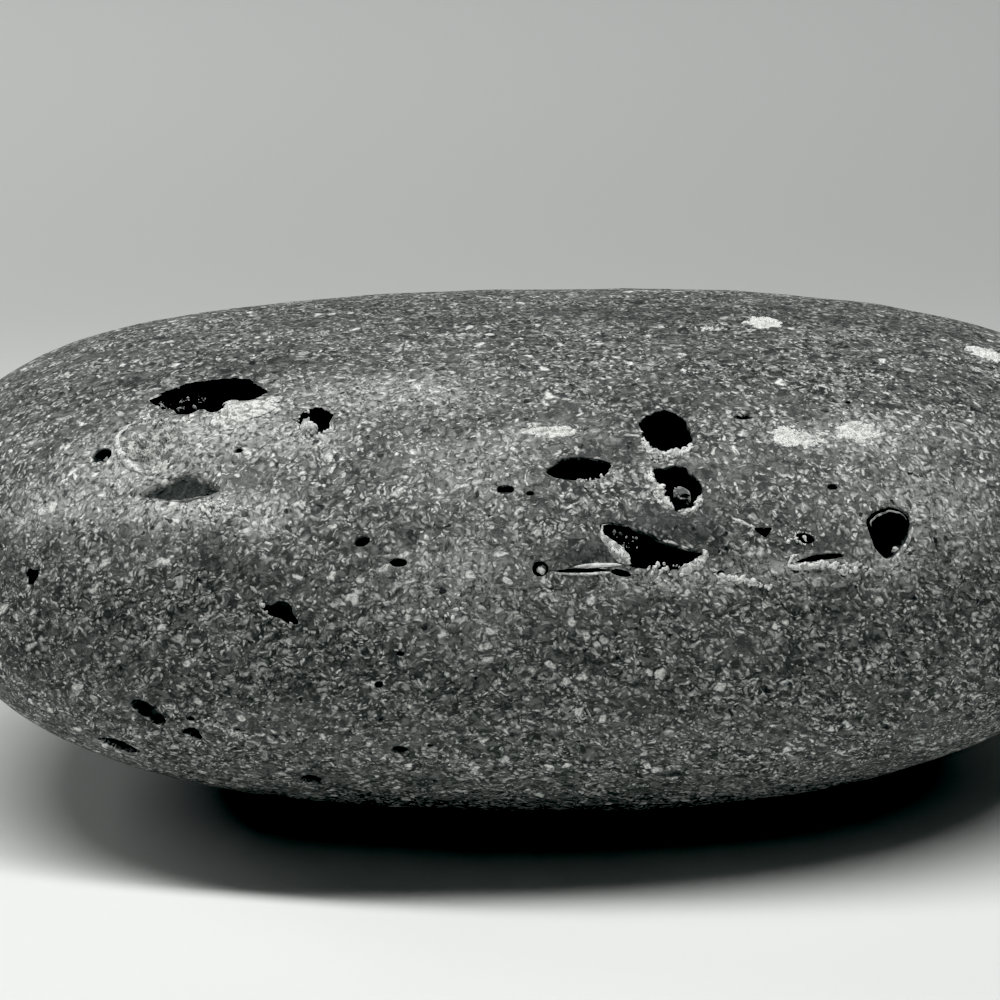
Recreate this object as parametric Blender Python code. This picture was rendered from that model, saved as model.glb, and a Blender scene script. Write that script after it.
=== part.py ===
"""Basalt massage stone: a flat, water-worn pebble of dark vesicular lava.

The stone is one natural body of basalt. Gas bubbles left open hollows in it, and pale minerals
grew in some of them. Each mineral body is a solid of its own, seated in the basalt.

Frame: metres, +Z up, +X along the stone, -Y to the front. The origin is the middle of the worn
flat that the stone rests on.

A place on the stone is given as on a globe laid on its side. Its latitude, lat, is in degrees from
the middle towards the end at +X. Its turn is in degrees round the long axis: 0 is the front, 90 the
crown, 180 the back and -90 the underside. Its spin turns a long shape from the stone's length
towards the crown.
"""

from dataclasses import dataclass
from math import cos, exp, radians, sin

import bmesh
import bpy
from mathutils import Matrix, Vector

MM = 0.001

# Driving sizes of the pebble, in metres.
LENGTH = 84.0 * MM
WIDTH = 60.2 * MM
CROWN_HEIGHT = 12.8 * MM  # from the widest level up to the crown
KEEL_DEPTH = 18.9 * MM  # from the widest level down to where the underside would close
FOOT_WEAR = 0.8 * MM  # what the worn flat takes off the underside

# How square each outline is: 2 is an ellipse, and a larger value has fuller shoulders.
PLAN_SQUARENESS = 2.4
CROWN_SQUARENESS = 3.0
KEEL_SQUARENESS = 2.25

# The gap all round a mineral body, between it and its seat in the basalt.
SEAT_GAP = 0.3 * MM

# From the pebble's widest level, where its centre is, down to the worn flat.
FOOT_DEPTH = KEEL_DEPTH - FOOT_WEAR

# Fineness of the round forms, as subdivisions of an icosahedron.
PEBBLE_FINENESS = 5
HOLLOW_FINENESS = 3
PIT_FINENESS = 2
PIT_LENGTH = 4.5 * MM  # a shape up to this long takes the coarser form

PLACE_STEP = 0.5  # degrees, for measuring which way the skin faces


@dataclass(frozen=True, kw_only=True)
class Finish:
    """Colour, roughness and metallic value of one kind of surface."""

    colour: tuple
    roughness: float
    metallic: float = 0.0


@dataclass(frozen=True, kw_only=True)
class Place:
    """Where a shape sits on the skin, in degrees."""

    lat: float
    turn: float
    spin: float = 0.0


@dataclass(frozen=True, kw_only=True)
class Swell(Place):
    """A gentle rise of the skin, or a dip where the rise is negative."""

    rise: float  # share of the distance from the pebble's centre
    spread: float  # reach, as a share of that distance


@dataclass(frozen=True, kw_only=True)
class Hollow(Place):
    """An open gas bubble: half an ellipsoid let into the skin."""

    long: float
    wide: float
    deep: float


@dataclass(frozen=True, kw_only=True)
class Mineral:
    """An ellipsoid of mineral, cut off at the skin.

    Its place is that of the bubble that it grew in, moved along the bubble and across it towards
    the crown, and sunk below the skin. These moves are shares of the bubble's half length, half
    width and depth, so that a mineral keeps its place when the bubble changes.
    """

    at: Hollow
    long: float
    wide: float
    thick: float
    along: float = 0.0
    across: float = 0.0
    sunk: float = 0.0
    spin: float = 0.0
    finish: Finish


BASALT = Finish(colour=(0.085, 0.09, 0.085), roughness=0.72)
WHITE_CRUST = Finish(colour=(0.55, 0.57, 0.54), roughness=0.80)
CLEAR_CRYSTAL = Finish(colour=(0.62, 0.64, 0.61), roughness=0.35)
GREY_NODULE = Finish(colour=(0.24, 0.25, 0.24), roughness=0.60)
CHALKY_FILLING = Finish(colour=(0.50, 0.52, 0.49), roughness=0.85)

SWELLS = (
    Swell(lat=-38, turn=100, rise=0.026, spread=0.30),
    Swell(lat=-14, turn=-45, rise=-0.024, spread=0.30),
    Swell(lat=16, turn=-42, rise=-0.007, spread=0.28),
    Swell(lat=-45, turn=-30, rise=0.020, spread=0.35),
    Swell(lat=24, turn=195, rise=0.016, spread=0.55),
    Swell(lat=-26, turn=160, rise=-0.014, spread=0.45),
    Swell(lat=-8, turn=240, rise=0.012, spread=0.50),
)

# Open bubbles that hold a mineral.
CAVE = Hollow(lat=-26, turn=63, spin=6, long=7.2 * MM, wide=3.3 * MM, deep=3.0 * MM)
BASIN = Hollow(lat=-31, turn=50, long=4.4 * MM, wide=4.2 * MM, deep=1.2 * MM)
SMALL_ROUND = Hollow(lat=-17, turn=52, long=2.1 * MM, wide=2.1 * MM, deep=1.6 * MM)
LENS = Hollow(lat=-27.5, turn=37.5, spin=2, long=5.0 * MM, wide=1.8 * MM, deep=1.1 * MM)
BLACK_ROUND = Hollow(lat=9, turn=47.5, long=3.1 * MM, wide=3.0 * MM, deep=2.7 * MM)
TWIN = Hollow(lat=9.5, turn=35, long=2.9 * MM, wide=2.9 * MM, deep=2.3 * MM)
BOAT = Hollow(lat=7.5, turn=22, spin=-6, long=6.3 * MM, wide=2.8 * MM, deep=2.8 * MM)
SLOT = Hollow(lat=3, turn=17.5, spin=-4, long=5.2 * MM, wide=1.3 * MM, deep=0.9 * MM)
SLOT_END = Hollow(lat=-0.5, turn=18, long=1.1 * MM, wide=1.1 * MM, deep=0.7 * MM)
OVAL = Hollow(lat=26.5, turn=24, long=2.6 * MM, wide=2.8 * MM, deep=2.0 * MM)
SLIT = Hollow(lat=21.5, turn=19.5, spin=3, long=4.5 * MM, wide=0.8 * MM, deep=1.0 * MM)
WEDGE_PIT = Hollow(lat=16.5, turn=25, long=1.2 * MM, wide=0.8 * MM, deep=0.8 * MM)

# Open bubbles that are empty: those on the front and the crown, then the back and underside.
EMPTY_HOLLOWS = (
    Hollow(lat=2.5, turn=40, long=3.8 * MM, wide=1.8 * MM, deep=1.5 * MM),
    Hollow(lat=-34.5, turn=47, long=1.1 * MM, wide=1.0 * MM, deep=0.9 * MM),
    Hollow(lat=-21.5, turn=6.5, spin=-25, long=2.0 * MM, wide=1.1 * MM, deep=0.8 * MM),
    Hollow(lat=-14, turn=25, spin=20, long=0.9 * MM, wide=0.5 * MM, deep=0.5 * MM),
    Hollow(lat=-11.5, turn=20, long=1.0 * MM, wide=0.5 * MM, deep=0.5 * MM),
    Hollow(lat=-33, turn=-22, spin=-20, long=1.8 * MM, wide=1.0 * MM, deep=0.9 * MM),
    Hollow(lat=-29, turn=-25, long=1.1 * MM, wide=0.5 * MM, deep=0.5 * MM),
    Hollow(lat=-37.5, turn=-41, spin=-12, long=2.7 * MM, wide=0.8 * MM, deep=0.8 * MM),
    Hollow(lat=-19.5, turn=-38, long=1.0 * MM, wide=0.6 * MM, deep=0.6 * MM),
    Hollow(lat=-12, turn=-25, long=1.0 * MM, wide=0.5 * MM, deep=0.5 * MM),
    Hollow(lat=-45, turn=12, spin=50, long=1.1 * MM, wide=0.9 * MM, deep=0.8 * MM),
    Hollow(lat=15, turn=51.5, long=1.2 * MM, wide=0.5 * MM, deep=0.5 * MM),
    Hollow(lat=27.5, turn=82, long=1.2 * MM, wide=0.7 * MM, deep=0.5 * MM),
    Hollow(lat=-3, turn=36, long=1.0 * MM, wide=0.6 * MM, deep=0.5 * MM),
    Hollow(lat=58, turn=60, long=1.6 * MM, wide=1.0 * MM, deep=0.8 * MM),
    Hollow(lat=-18, turn=128, spin=15, long=4.2 * MM, wide=2.2 * MM, deep=1.8 * MM),
    Hollow(lat=14, turn=142, long=2.4 * MM, wide=1.9 * MM, deep=1.5 * MM),
    Hollow(lat=31, turn=165, spin=-10, long=3.0 * MM, wide=1.3 * MM, deep=1.1 * MM),
    Hollow(lat=-33, turn=178, long=1.7 * MM, wide=1.2 * MM, deep=1.0 * MM),
    Hollow(lat=4, turn=186, spin=5, long=5.0 * MM, wide=1.6 * MM, deep=1.4 * MM),
    Hollow(lat=-9, turn=208, long=1.5 * MM, wide=1.0 * MM, deep=0.8 * MM),
    Hollow(lat=22, turn=222, spin=30, long=2.2 * MM, wide=1.5 * MM, deep=1.1 * MM),
    Hollow(lat=-30, turn=238, spin=-8, long=3.2 * MM, wide=1.4 * MM, deep=1.2 * MM),
    Hollow(lat=34, turn=-55, spin=12, long=1.9 * MM, wide=1.1 * MM, deep=0.9 * MM),
)

LEFT_HOLLOWS = (CAVE, BASIN, SMALL_ROUND, LENS)
RIGHT_HOLLOWS = (BLACK_ROUND, TWIN, BOAT, SLOT, SLOT_END, OVAL, SLIT, WEDGE_PIT)

# Bubbles that their mineral fills up to the skin.
STREAK = Hollow(lat=0.5, turn=48.5, long=3.4 * MM, wide=1.2 * MM, deep=0.7 * MM)
PATCH = Hollow(lat=23.5, turn=49, spin=-15, long=3.2 * MM, wide=2.0 * MM, deep=0.8 * MM)
CHAIN = Hollow(lat=18.5, turn=47, spin=-20, long=3.2 * MM, wide=1.4 * MM, deep=0.7 * MM)
CROWN_SPOT = Hollow(lat=20, turn=91, long=2.9 * MM, wide=2.7 * MM, deep=0.9 * MM)
END_SPOT = Hollow(lat=39.5, turn=83, long=3.2 * MM, wide=2.8 * MM, deep=0.9 * MM)


def filling(hollow):
    """Mineral that fills a bubble up to the skin, less the gap to its wall."""
    return Mineral(
        at=hollow,
        long=hollow.long - 2 * SEAT_GAP,
        wide=hollow.wide - 2 * SEAT_GAP,
        thick=2 * (hollow.deep - SEAT_GAP),
        finish=CHALKY_FILLING,
    )


MINERALS = {
    "crust_basin": Mineral(
        at=BASIN, sunk=0.75, long=3.8 * MM, wide=3.4 * MM, thick=1.3 * MM, finish=WHITE_CRUST
    ),
    "crust_tongue": Mineral(
        at=CAVE, along=0.45, across=-1.2, sunk=0.03, spin=12,
        long=3.6 * MM, wide=1.0 * MM, thick=1.1 * MM, finish=WHITE_CRUST
    ),
    "nugget": Mineral(
        at=SMALL_ROUND, along=-0.2, across=-0.3, sunk=0.4,
        long=1.1 * MM, wide=0.9 * MM, thick=0.9 * MM, finish=CLEAR_CRYSTAL
    ),
    "lens_nodule": Mineral(
        at=LENS, along=-0.6, across=-0.1, sunk=0.7,
        long=1.3 * MM, wide=1.0 * MM, thick=0.8 * MM, finish=GREY_NODULE
    ),
    "crumb_row": Mineral(
        at=BLACK_ROUND, across=-1.0, sunk=0.1,
        long=2.2 * MM, wide=0.6 * MM, thick=0.8 * MM, finish=CLEAR_CRYSTAL
    ),
    "rim_crust": Mineral(
        at=TWIN, along=-0.95, across=-0.15, sunk=0.15, spin=100,
        long=2.4 * MM, wide=0.8 * MM, thick=0.9 * MM, finish=WHITE_CRUST
    ),
    "twin_nodule": Mineral(
        at=TWIN, along=0.3, across=-0.15, sunk=0.8,
        long=1.2 * MM, wide=1.1 * MM, thick=0.9 * MM, finish=GREY_NODULE
    ),
    "pale_wedge": Mineral(
        at=BOAT, along=-0.92, across=0.15, sunk=0.1, spin=105,
        long=2.3 * MM, wide=0.8 * MM, thick=1.0 * MM, finish=WHITE_CRUST
    ),
    "ledge_deposit": Mineral(
        at=BOAT, along=0.75, across=-0.65, sunk=0.2,
        long=2.0 * MM, wide=0.7 * MM, thick=0.8 * MM, finish=WHITE_CRUST
    ),
    "blade_crystal": Mineral(
        at=SLOT, along=0.15, sunk=0.45,
        long=3.6 * MM, wide=0.5 * MM, thick=0.5 * MM, finish=CLEAR_CRYSTAL
    ),
    "slot_nodule": Mineral(
        at=SLOT_END, sunk=0.55, long=0.7 * MM, wide=0.7 * MM, thick=0.6 * MM, finish=CLEAR_CRYSTAL
    ),
    "oval_crystal": Mineral(
        at=OVAL, along=0.25, across=-0.65, sunk=0.5,
        long=0.9 * MM, wide=0.7 * MM, thick=0.7 * MM, finish=CLEAR_CRYSTAL
    ),
    "slit_lip": Mineral(
        at=SLIT, across=-2.2, sunk=0.1,
        long=3.4 * MM, wide=0.7 * MM, thick=0.7 * MM, finish=WHITE_CRUST
    ),
    "thin_blade": Mineral(
        at=WEDGE_PIT, along=-2.2, across=2.0, sunk=0.1, spin=-25,
        long=2.2 * MM, wide=0.4 * MM, thick=0.6 * MM, finish=CLEAR_CRYSTAL
    ),
    "streak_filling": filling(STREAK),
    "patch_filling": filling(PATCH),
    "chain_filling": filling(CHAIN),
    "crown_filling": filling(CROWN_SPOT),
    "end_filling": filling(END_SPOT),
}


def toward(place):
    """Direction of a place on the unit sphere."""
    lat, turn = radians(place.lat), radians(place.turn)
    return Vector((sin(lat), -cos(lat) * cos(turn), cos(lat) * sin(turn)))


def squared_length(first, second, squareness):
    """Length of two sides at right angles, measured so that equal lengths lie on a squarish round."""
    return (abs(first) ** squareness + abs(second) ** squareness) ** (1 / squareness)


def skin(direction):
    """Point of the unworn pebble's skin that a direction on the unit sphere stands for.

    The sphere is stretched to a superellipsoid whose crown and keel differ in height and in
    squareness, and the swells then move its points out or in.
    """
    above = direction.z > 0
    height = CROWN_HEIGHT if above else KEEL_DEPTH
    squareness = CROWN_SQUARENESS if above else KEEL_SQUARENESS
    plan = squared_length(direction.x, direction.y, PLAN_SQUARENESS)
    reach = 1 / squared_length(plan, direction.z, squareness)
    for swell in SWELLS:
        distance = (direction - toward(swell)).length
        reach *= 1 + swell.rise * exp(-((distance / swell.spread) ** 2))
    stretched = Vector((direction.x * LENGTH / 2, direction.y * WIDTH / 2, direction.z * height))
    return stretched * reach + Vector((0, 0, FOOT_DEPTH))


def skin_frame(place):
    """Axes of a shape at a place on the skin: X along it, Y across it, Z out of the stone."""

    def near(lat_step, turn_step):
        return skin(toward(Place(lat=place.lat + lat_step, turn=place.turn + turn_step)))

    along = (near(PLACE_STEP, 0) - near(-PLACE_STEP, 0)).normalized()
    crownward = near(0, PLACE_STEP) - near(0, -PLACE_STEP)
    outward = along.cross(crownward).normalized()
    axes = Matrix((along, outward.cross(along), outward)).transposed().to_4x4()
    return Matrix.Translation(near(0, 0)) @ axes @ Matrix.Rotation(radians(place.spin), 4, "Z")


def mineral_frame(mineral):
    """Axes of a mineral, in its bubble's frame and then turned by its own spin."""
    hollow = mineral.at
    shift = Vector(
        (mineral.along * hollow.long / 2, mineral.across * hollow.wide / 2, -mineral.sunk * hollow.deep)
    )
    return skin_frame(hollow) @ Matrix.Translation(shift) @ Matrix.Rotation(radians(mineral.spin), 4, "Z")


def add_object(name, bm, collection):
    """Object of a finished mesh, shaded smooth, in a collection."""
    mesh = bpy.data.meshes.new(name)
    bm.to_mesh(mesh)
    bm.free()
    mesh.shade_smooth()
    item = bpy.data.objects.new(name, mesh)
    collection.objects.link(item)
    return item


def add_guide(name, bm, collection):
    """Object that only cuts or bounds the pieces and isn't a piece itself."""
    item = add_object(name, bm, collection)
    item.hide_render = True
    item.display_type = "WIRE"
    return item


def ellipsoid_mesh(size):
    """Closed ellipsoid with a full size along each axis, its middle at the origin."""
    fineness = PIT_FINENESS if max(size) <= PIT_LENGTH else HOLLOW_FINENESS
    bm = bmesh.new()
    bmesh.ops.create_icosphere(bm, subdivisions=fineness, radius=0.5)
    bmesh.ops.scale(bm, vec=size, verts=bm.verts)
    return bm


def set_finish(item, finish):
    """Give an object a material of its own."""
    material = bpy.data.materials.new(item.name)
    material.use_nodes = True
    shader = material.node_tree.nodes["Principled BSDF"]
    shader.inputs["Base Color"].default_value = (*finish.colour, 1)
    shader.inputs["Roughness"].default_value = finish.roughness
    shader.inputs["Metallic"].default_value = finish.metallic
    item.data.materials.append(material)


def add_boolean(item, operation):
    """Exact Boolean on an object, still without what it cuts or bounds the object by."""
    modifier = item.modifiers.new(operation.lower(), "BOOLEAN")
    modifier.operation = operation
    modifier.solver = "EXACT"
    return modifier


def pebble_mesh():
    """The whole unworn pebble, as a sphere whose points are moved to the skin."""
    bm = bmesh.new()
    bmesh.ops.create_icosphere(bm, subdivisions=PEBBLE_FINENESS, radius=1)
    for vert in bm.verts:
        vert.co = skin(vert.co.normalized())
    return bm


def wear_foot(bm):
    """Cut the pebble off at the level that it rests on, and close it with one flat face."""
    geometry = [*bm.verts, *bm.edges, *bm.faces]
    cut = bmesh.ops.bisect_plane(
        bm, geom=geometry, plane_co=(0, 0, 0), plane_no=(0, 0, -1), clear_outer=True
    )
    rim = [element for element in cut["geom_cut"] if isinstance(element, bmesh.types.BMEdge)]
    bmesh.ops.contextual_create(bm, geom=rim)
    bmesh.ops.recalc_face_normals(bm, faces=bm.faces)


def add_cutters(collection):
    """Cutters of the open bubbles, and of a seat with a gap all round each mineral."""
    for number, hollow in enumerate((*LEFT_HOLLOWS, *RIGHT_HOLLOWS, *EMPTY_HOLLOWS)):
        size = (hollow.long, hollow.wide, 2 * hollow.deep)
        cutter = add_guide(f"cut_hollow_{number}", ellipsoid_mesh(size), collection)
        cutter.matrix_world = skin_frame(hollow)
    for name, mineral in MINERALS.items():
        size = [extent + 2 * SEAT_GAP for extent in (mineral.long, mineral.wide, mineral.thick)]
        cutter = add_guide(f"cut_seat_{name}", ellipsoid_mesh(size), collection)
        cutter.matrix_world = mineral_frame(mineral)


def add_basalt(collection, cutters):
    """The pebble itself, with its worn foot, its bubbles and the seats of its minerals."""
    bm = pebble_mesh()
    wear_foot(bm)
    basalt = add_object("basalt_body", bm, collection)
    cut = add_boolean(basalt, "DIFFERENCE")
    cut.operand_type = "COLLECTION"
    cut.collection = cutters
    set_finish(basalt, BASALT)


def add_minerals(collection, whole_pebble):
    """One body for each mineral, cut off where the pebble's skin was worn."""
    for name, mineral in MINERALS.items():
        size = (mineral.long, mineral.wide, mineral.thick)
        item = add_object(name, ellipsoid_mesh(size), collection)
        item.matrix_world = mineral_frame(mineral)
        add_boolean(item, "INTERSECT").object = whole_pebble
        set_finish(item, mineral.finish)


def main():
    """Clear the scene and build the stone."""
    for item in list(bpy.data.objects):
        bpy.data.objects.remove(item)
    scene_collection = bpy.context.scene.collection
    cutters = bpy.data.collections.new("cutters")
    scene_collection.children.link(cutters)
    add_cutters(cutters)
    whole_pebble = add_guide("whole_pebble", pebble_mesh(), scene_collection)
    add_basalt(scene_collection, cutters)
    add_minerals(scene_collection, whole_pebble)


main()
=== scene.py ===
"""Looks of a basalt massage stone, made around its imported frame.

The pebble is a squarish ellipsoid whose skin carries open gas bubbles. Each bubble is cut from it by
a ragged closed surface, and each pale mineral is a crystalline body in its own bubble.

A place on the stone is given as on a globe laid on its side: lat is degrees from the middle towards
the end at +X, and turn is degrees round the long axis, 0 at the front, 90 at the crown, 180 at the
back and -90 below. Lengths are in millimetres wherever a name ends in _mm, and in metres elsewhere.
"""

from __future__ import annotations

import logging
from dataclasses import dataclass, field
from enum import Enum

import bpy
import numpy as np
from mathutils import Matrix, Vector

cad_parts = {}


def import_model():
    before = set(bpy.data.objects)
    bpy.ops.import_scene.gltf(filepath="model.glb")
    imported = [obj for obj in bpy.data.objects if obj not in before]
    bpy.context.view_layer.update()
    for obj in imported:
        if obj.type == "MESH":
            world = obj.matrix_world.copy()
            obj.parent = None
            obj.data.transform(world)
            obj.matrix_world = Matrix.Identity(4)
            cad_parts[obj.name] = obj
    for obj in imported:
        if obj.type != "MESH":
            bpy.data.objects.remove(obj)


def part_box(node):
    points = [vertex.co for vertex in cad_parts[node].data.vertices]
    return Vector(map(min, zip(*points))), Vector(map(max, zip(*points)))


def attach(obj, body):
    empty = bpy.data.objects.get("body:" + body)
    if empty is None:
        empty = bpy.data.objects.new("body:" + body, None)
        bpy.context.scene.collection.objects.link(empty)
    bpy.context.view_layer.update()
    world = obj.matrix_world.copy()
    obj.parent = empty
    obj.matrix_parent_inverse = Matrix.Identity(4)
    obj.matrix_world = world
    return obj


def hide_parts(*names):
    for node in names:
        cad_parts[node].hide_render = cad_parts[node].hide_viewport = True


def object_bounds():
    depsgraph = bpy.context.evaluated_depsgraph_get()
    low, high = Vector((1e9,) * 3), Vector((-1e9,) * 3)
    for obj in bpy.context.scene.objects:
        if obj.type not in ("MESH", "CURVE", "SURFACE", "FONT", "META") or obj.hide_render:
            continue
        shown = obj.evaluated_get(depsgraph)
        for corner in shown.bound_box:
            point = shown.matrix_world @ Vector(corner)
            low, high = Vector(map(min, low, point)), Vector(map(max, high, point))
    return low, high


LOG = logging.getLogger("stone")
MM = 0.001
Array = np.ndarray

# Crystals on one piece, places weighed at a time, and the greatest height of a crystal's face.
FEWEST_CRYSTALS, MOST_CRYSTALS = 12, 1500
BLOCK = 4000
HIGHEST_FACE = 1.6

# Spacing of a bubble's wall points round its mouth and down its wall, and where its wall starts.
ROUND_STEP_MM = 0.16
DOWN_STEP_MM = 0.14
LIP_LEVELS_MM = (-0.5, -0.12, 0.0, 0.06)
WALL_ANGLES = (0.07, 1.5)


# ---------------------------------------------------------------- shapes in numbers


def unit(vectors: Array) -> Array:
    """Vectors of length one in the same directions."""
    return vectors / np.linalg.norm(vectors, axis=-1, keepdims=True)


def ripples(points_mm: Array, wavelength_mm: float, seed: int, waves: int = 16) -> Array:
    """Smooth noise: the sum of cosine waves in random directions, near -1 to 1.

    Args:
        points_mm: places, with three numbers each on the last axis.
        wavelength_mm: usual distance from crest to crest.
        seed: picks the directions and phases.
        waves: number of waves in the sum.

    Returns:
        One number for each place.
    """
    rng = np.random.default_rng(seed)
    headings = unit(rng.normal(size=(waves, 3)))
    stretch = rng.uniform(0.7, 1.5, waves)[:, None]
    phases = rng.uniform(0, 2 * np.pi, waves)
    swing = points_mm @ (headings * stretch * 2 * np.pi / wavelength_mm).T + phases
    return np.cos(swing).sum(axis=-1) / np.sqrt(2 * waves)


def facets(points_mm: Array, size_mm: float, seed: int) -> Array:
    """Relief of an aggregate of crystals, near -1 to 1.

    Seeds are spread through the places' box. A place takes the height of its nearest seed plus that
    seed's random slope times the way from it, so each seed becomes one tilted flat face.

    Args:
        points_mm: places, as rows of three numbers.
        size_mm: usual width of a crystal.
        seed: picks the crystals.

    Returns:
        One number for each place.
    """
    rng = np.random.default_rng(seed)
    low, high = points_mm.min(axis=0) - size_mm, points_mm.max(axis=0) + size_mm
    count = int(min(MOST_CRYSTALS, max(FEWEST_CRYSTALS, np.prod((high - low) / size_mm))))
    seeds = rng.uniform(low, high, size=(count, 3))
    heights = rng.uniform(-1, 1, count)
    slopes = rng.normal(size=(count, 3)) * 0.9 / size_mm
    nearest = np.empty(len(points_mm), dtype=int)
    for start in range(0, len(points_mm), BLOCK):
        block = points_mm[start : start + BLOCK]
        gaps = ((block[:, None, :] - seeds[None, :, :]) ** 2).sum(axis=2)
        nearest[start : start + BLOCK] = gaps.argmin(axis=1)
    way = points_mm - seeds[nearest]
    tilted = heights[nearest] + (slopes[nearest] * way).sum(axis=1)
    return np.clip(tilted, -HIGHEST_FACE, HIGHEST_FACE)


def smooth_step(values: Array, low: float, high: float) -> Array:
    """Zero below low, one above high, and a smooth S between them."""
    share = np.clip((values - low) / (high - low), 0, 1)
    return share * share * (3 - 2 * share)


def linked(name: str, data: bpy.types.ID) -> bpy.types.Object:
    """Object that shows a mesh, lamp or camera, linked to the scene."""
    item = bpy.data.objects.new(name, data)
    bpy.context.scene.collection.objects.link(item)
    return item


def mesh_points(mesh: bpy.types.Mesh) -> Array:
    """A mesh's points as rows of three metres."""
    points = np.empty(len(mesh.vertices) * 3, dtype=np.float32)
    mesh.vertices.foreach_get("co", points)
    return points.reshape(-1, 3).astype(float)


def mesh_object(name: str, points: Array, quads: Array, triangles: Array | None = None) -> bpy.types.Object:
    """Object of a mesh given by its points and faces.

    Args:
        name: the object's name.
        points: one row of three metres for each point.
        quads: rows of four point numbers.
        triangles: rows of three point numbers, if there are any.

    Returns:
        The object, linked to the scene.
    """
    if triangles is None:
        triangles = np.empty((0, 3), dtype=int)
    corners = np.concatenate([quads.ravel(), triangles.ravel()]).astype(np.int32)
    sizes = np.concatenate([np.full(len(quads), 4), np.full(len(triangles), 3)])
    starts = np.concatenate([[0], np.cumsum(sizes)[:-1]]).astype(np.int32)
    mesh = bpy.data.meshes.new(name)
    mesh.vertices.add(len(points))
    mesh.vertices.foreach_set("co", points.astype(np.float32).ravel())
    mesh.loops.add(len(corners))
    mesh.loops.foreach_set("vertex_index", corners)
    mesh.polygons.add(len(sizes))
    mesh.polygons.foreach_set("loop_start", starts)
    mesh.update(calc_edges=True)
    mesh.validate()
    return linked(name, mesh)


def capped_faces(rows: int, around: int) -> tuple[Array, Array]:
    """Faces of a closed surface of rings, whose two end points are numbered after them.

    Args:
        rows: number of rings.
        around: number of points in each ring.

    Returns:
        Quads between the rings, and triangles from each end point to its nearest ring.
    """
    row, col = np.meshgrid(np.arange(rows - 1), np.arange(around), indexing="ij")
    here, there = row * around + col, row * around + (col + 1) % around
    quads = np.stack([here, here + around, there + around, there], axis=-1).reshape(-1, 4)
    col = np.arange(around)
    beside = (col + 1) % around
    top = np.stack([np.full(around, rows * around), col, beside], axis=-1)
    foot = (rows - 1) * around
    low = np.stack([np.full(around, rows * around + 1), foot + beside, foot + col], axis=-1)
    return quads, np.concatenate([top, low])


def closed_grid(name: str, rings: Array, first: Array, last: Array) -> bpy.types.Object:
    """Closed round-topped surface of rings between two end points.

    Args:
        name: the object's name.
        rings: points of the rings, as rings x points round x 3.
        first: the end point before the first ring.
        last: the end point after the last ring.

    Returns:
        The object. Its faces point out where each ring runs anticlockwise seen from the first end.
    """
    points = np.concatenate([rings.reshape(-1, 3), [first], [last]])
    return mesh_object(name, points, *capped_faces(*rings.shape[:2]))


# ---------------------------------------------------------------- the pebble's form


@dataclass(frozen=True)
class Swell:
    """A gentle rise of the skin, or a dip where the rise is negative."""

    lat: float
    turn: float
    rise: float
    spread: float


def toward(lat: float, turn: float) -> Array:
    """Direction of a place on the unit sphere."""
    lat, turn = np.radians(lat), np.radians(turn)
    return np.array([np.sin(lat), -np.cos(lat) * np.cos(turn), np.cos(lat) * np.sin(turn)])


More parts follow.
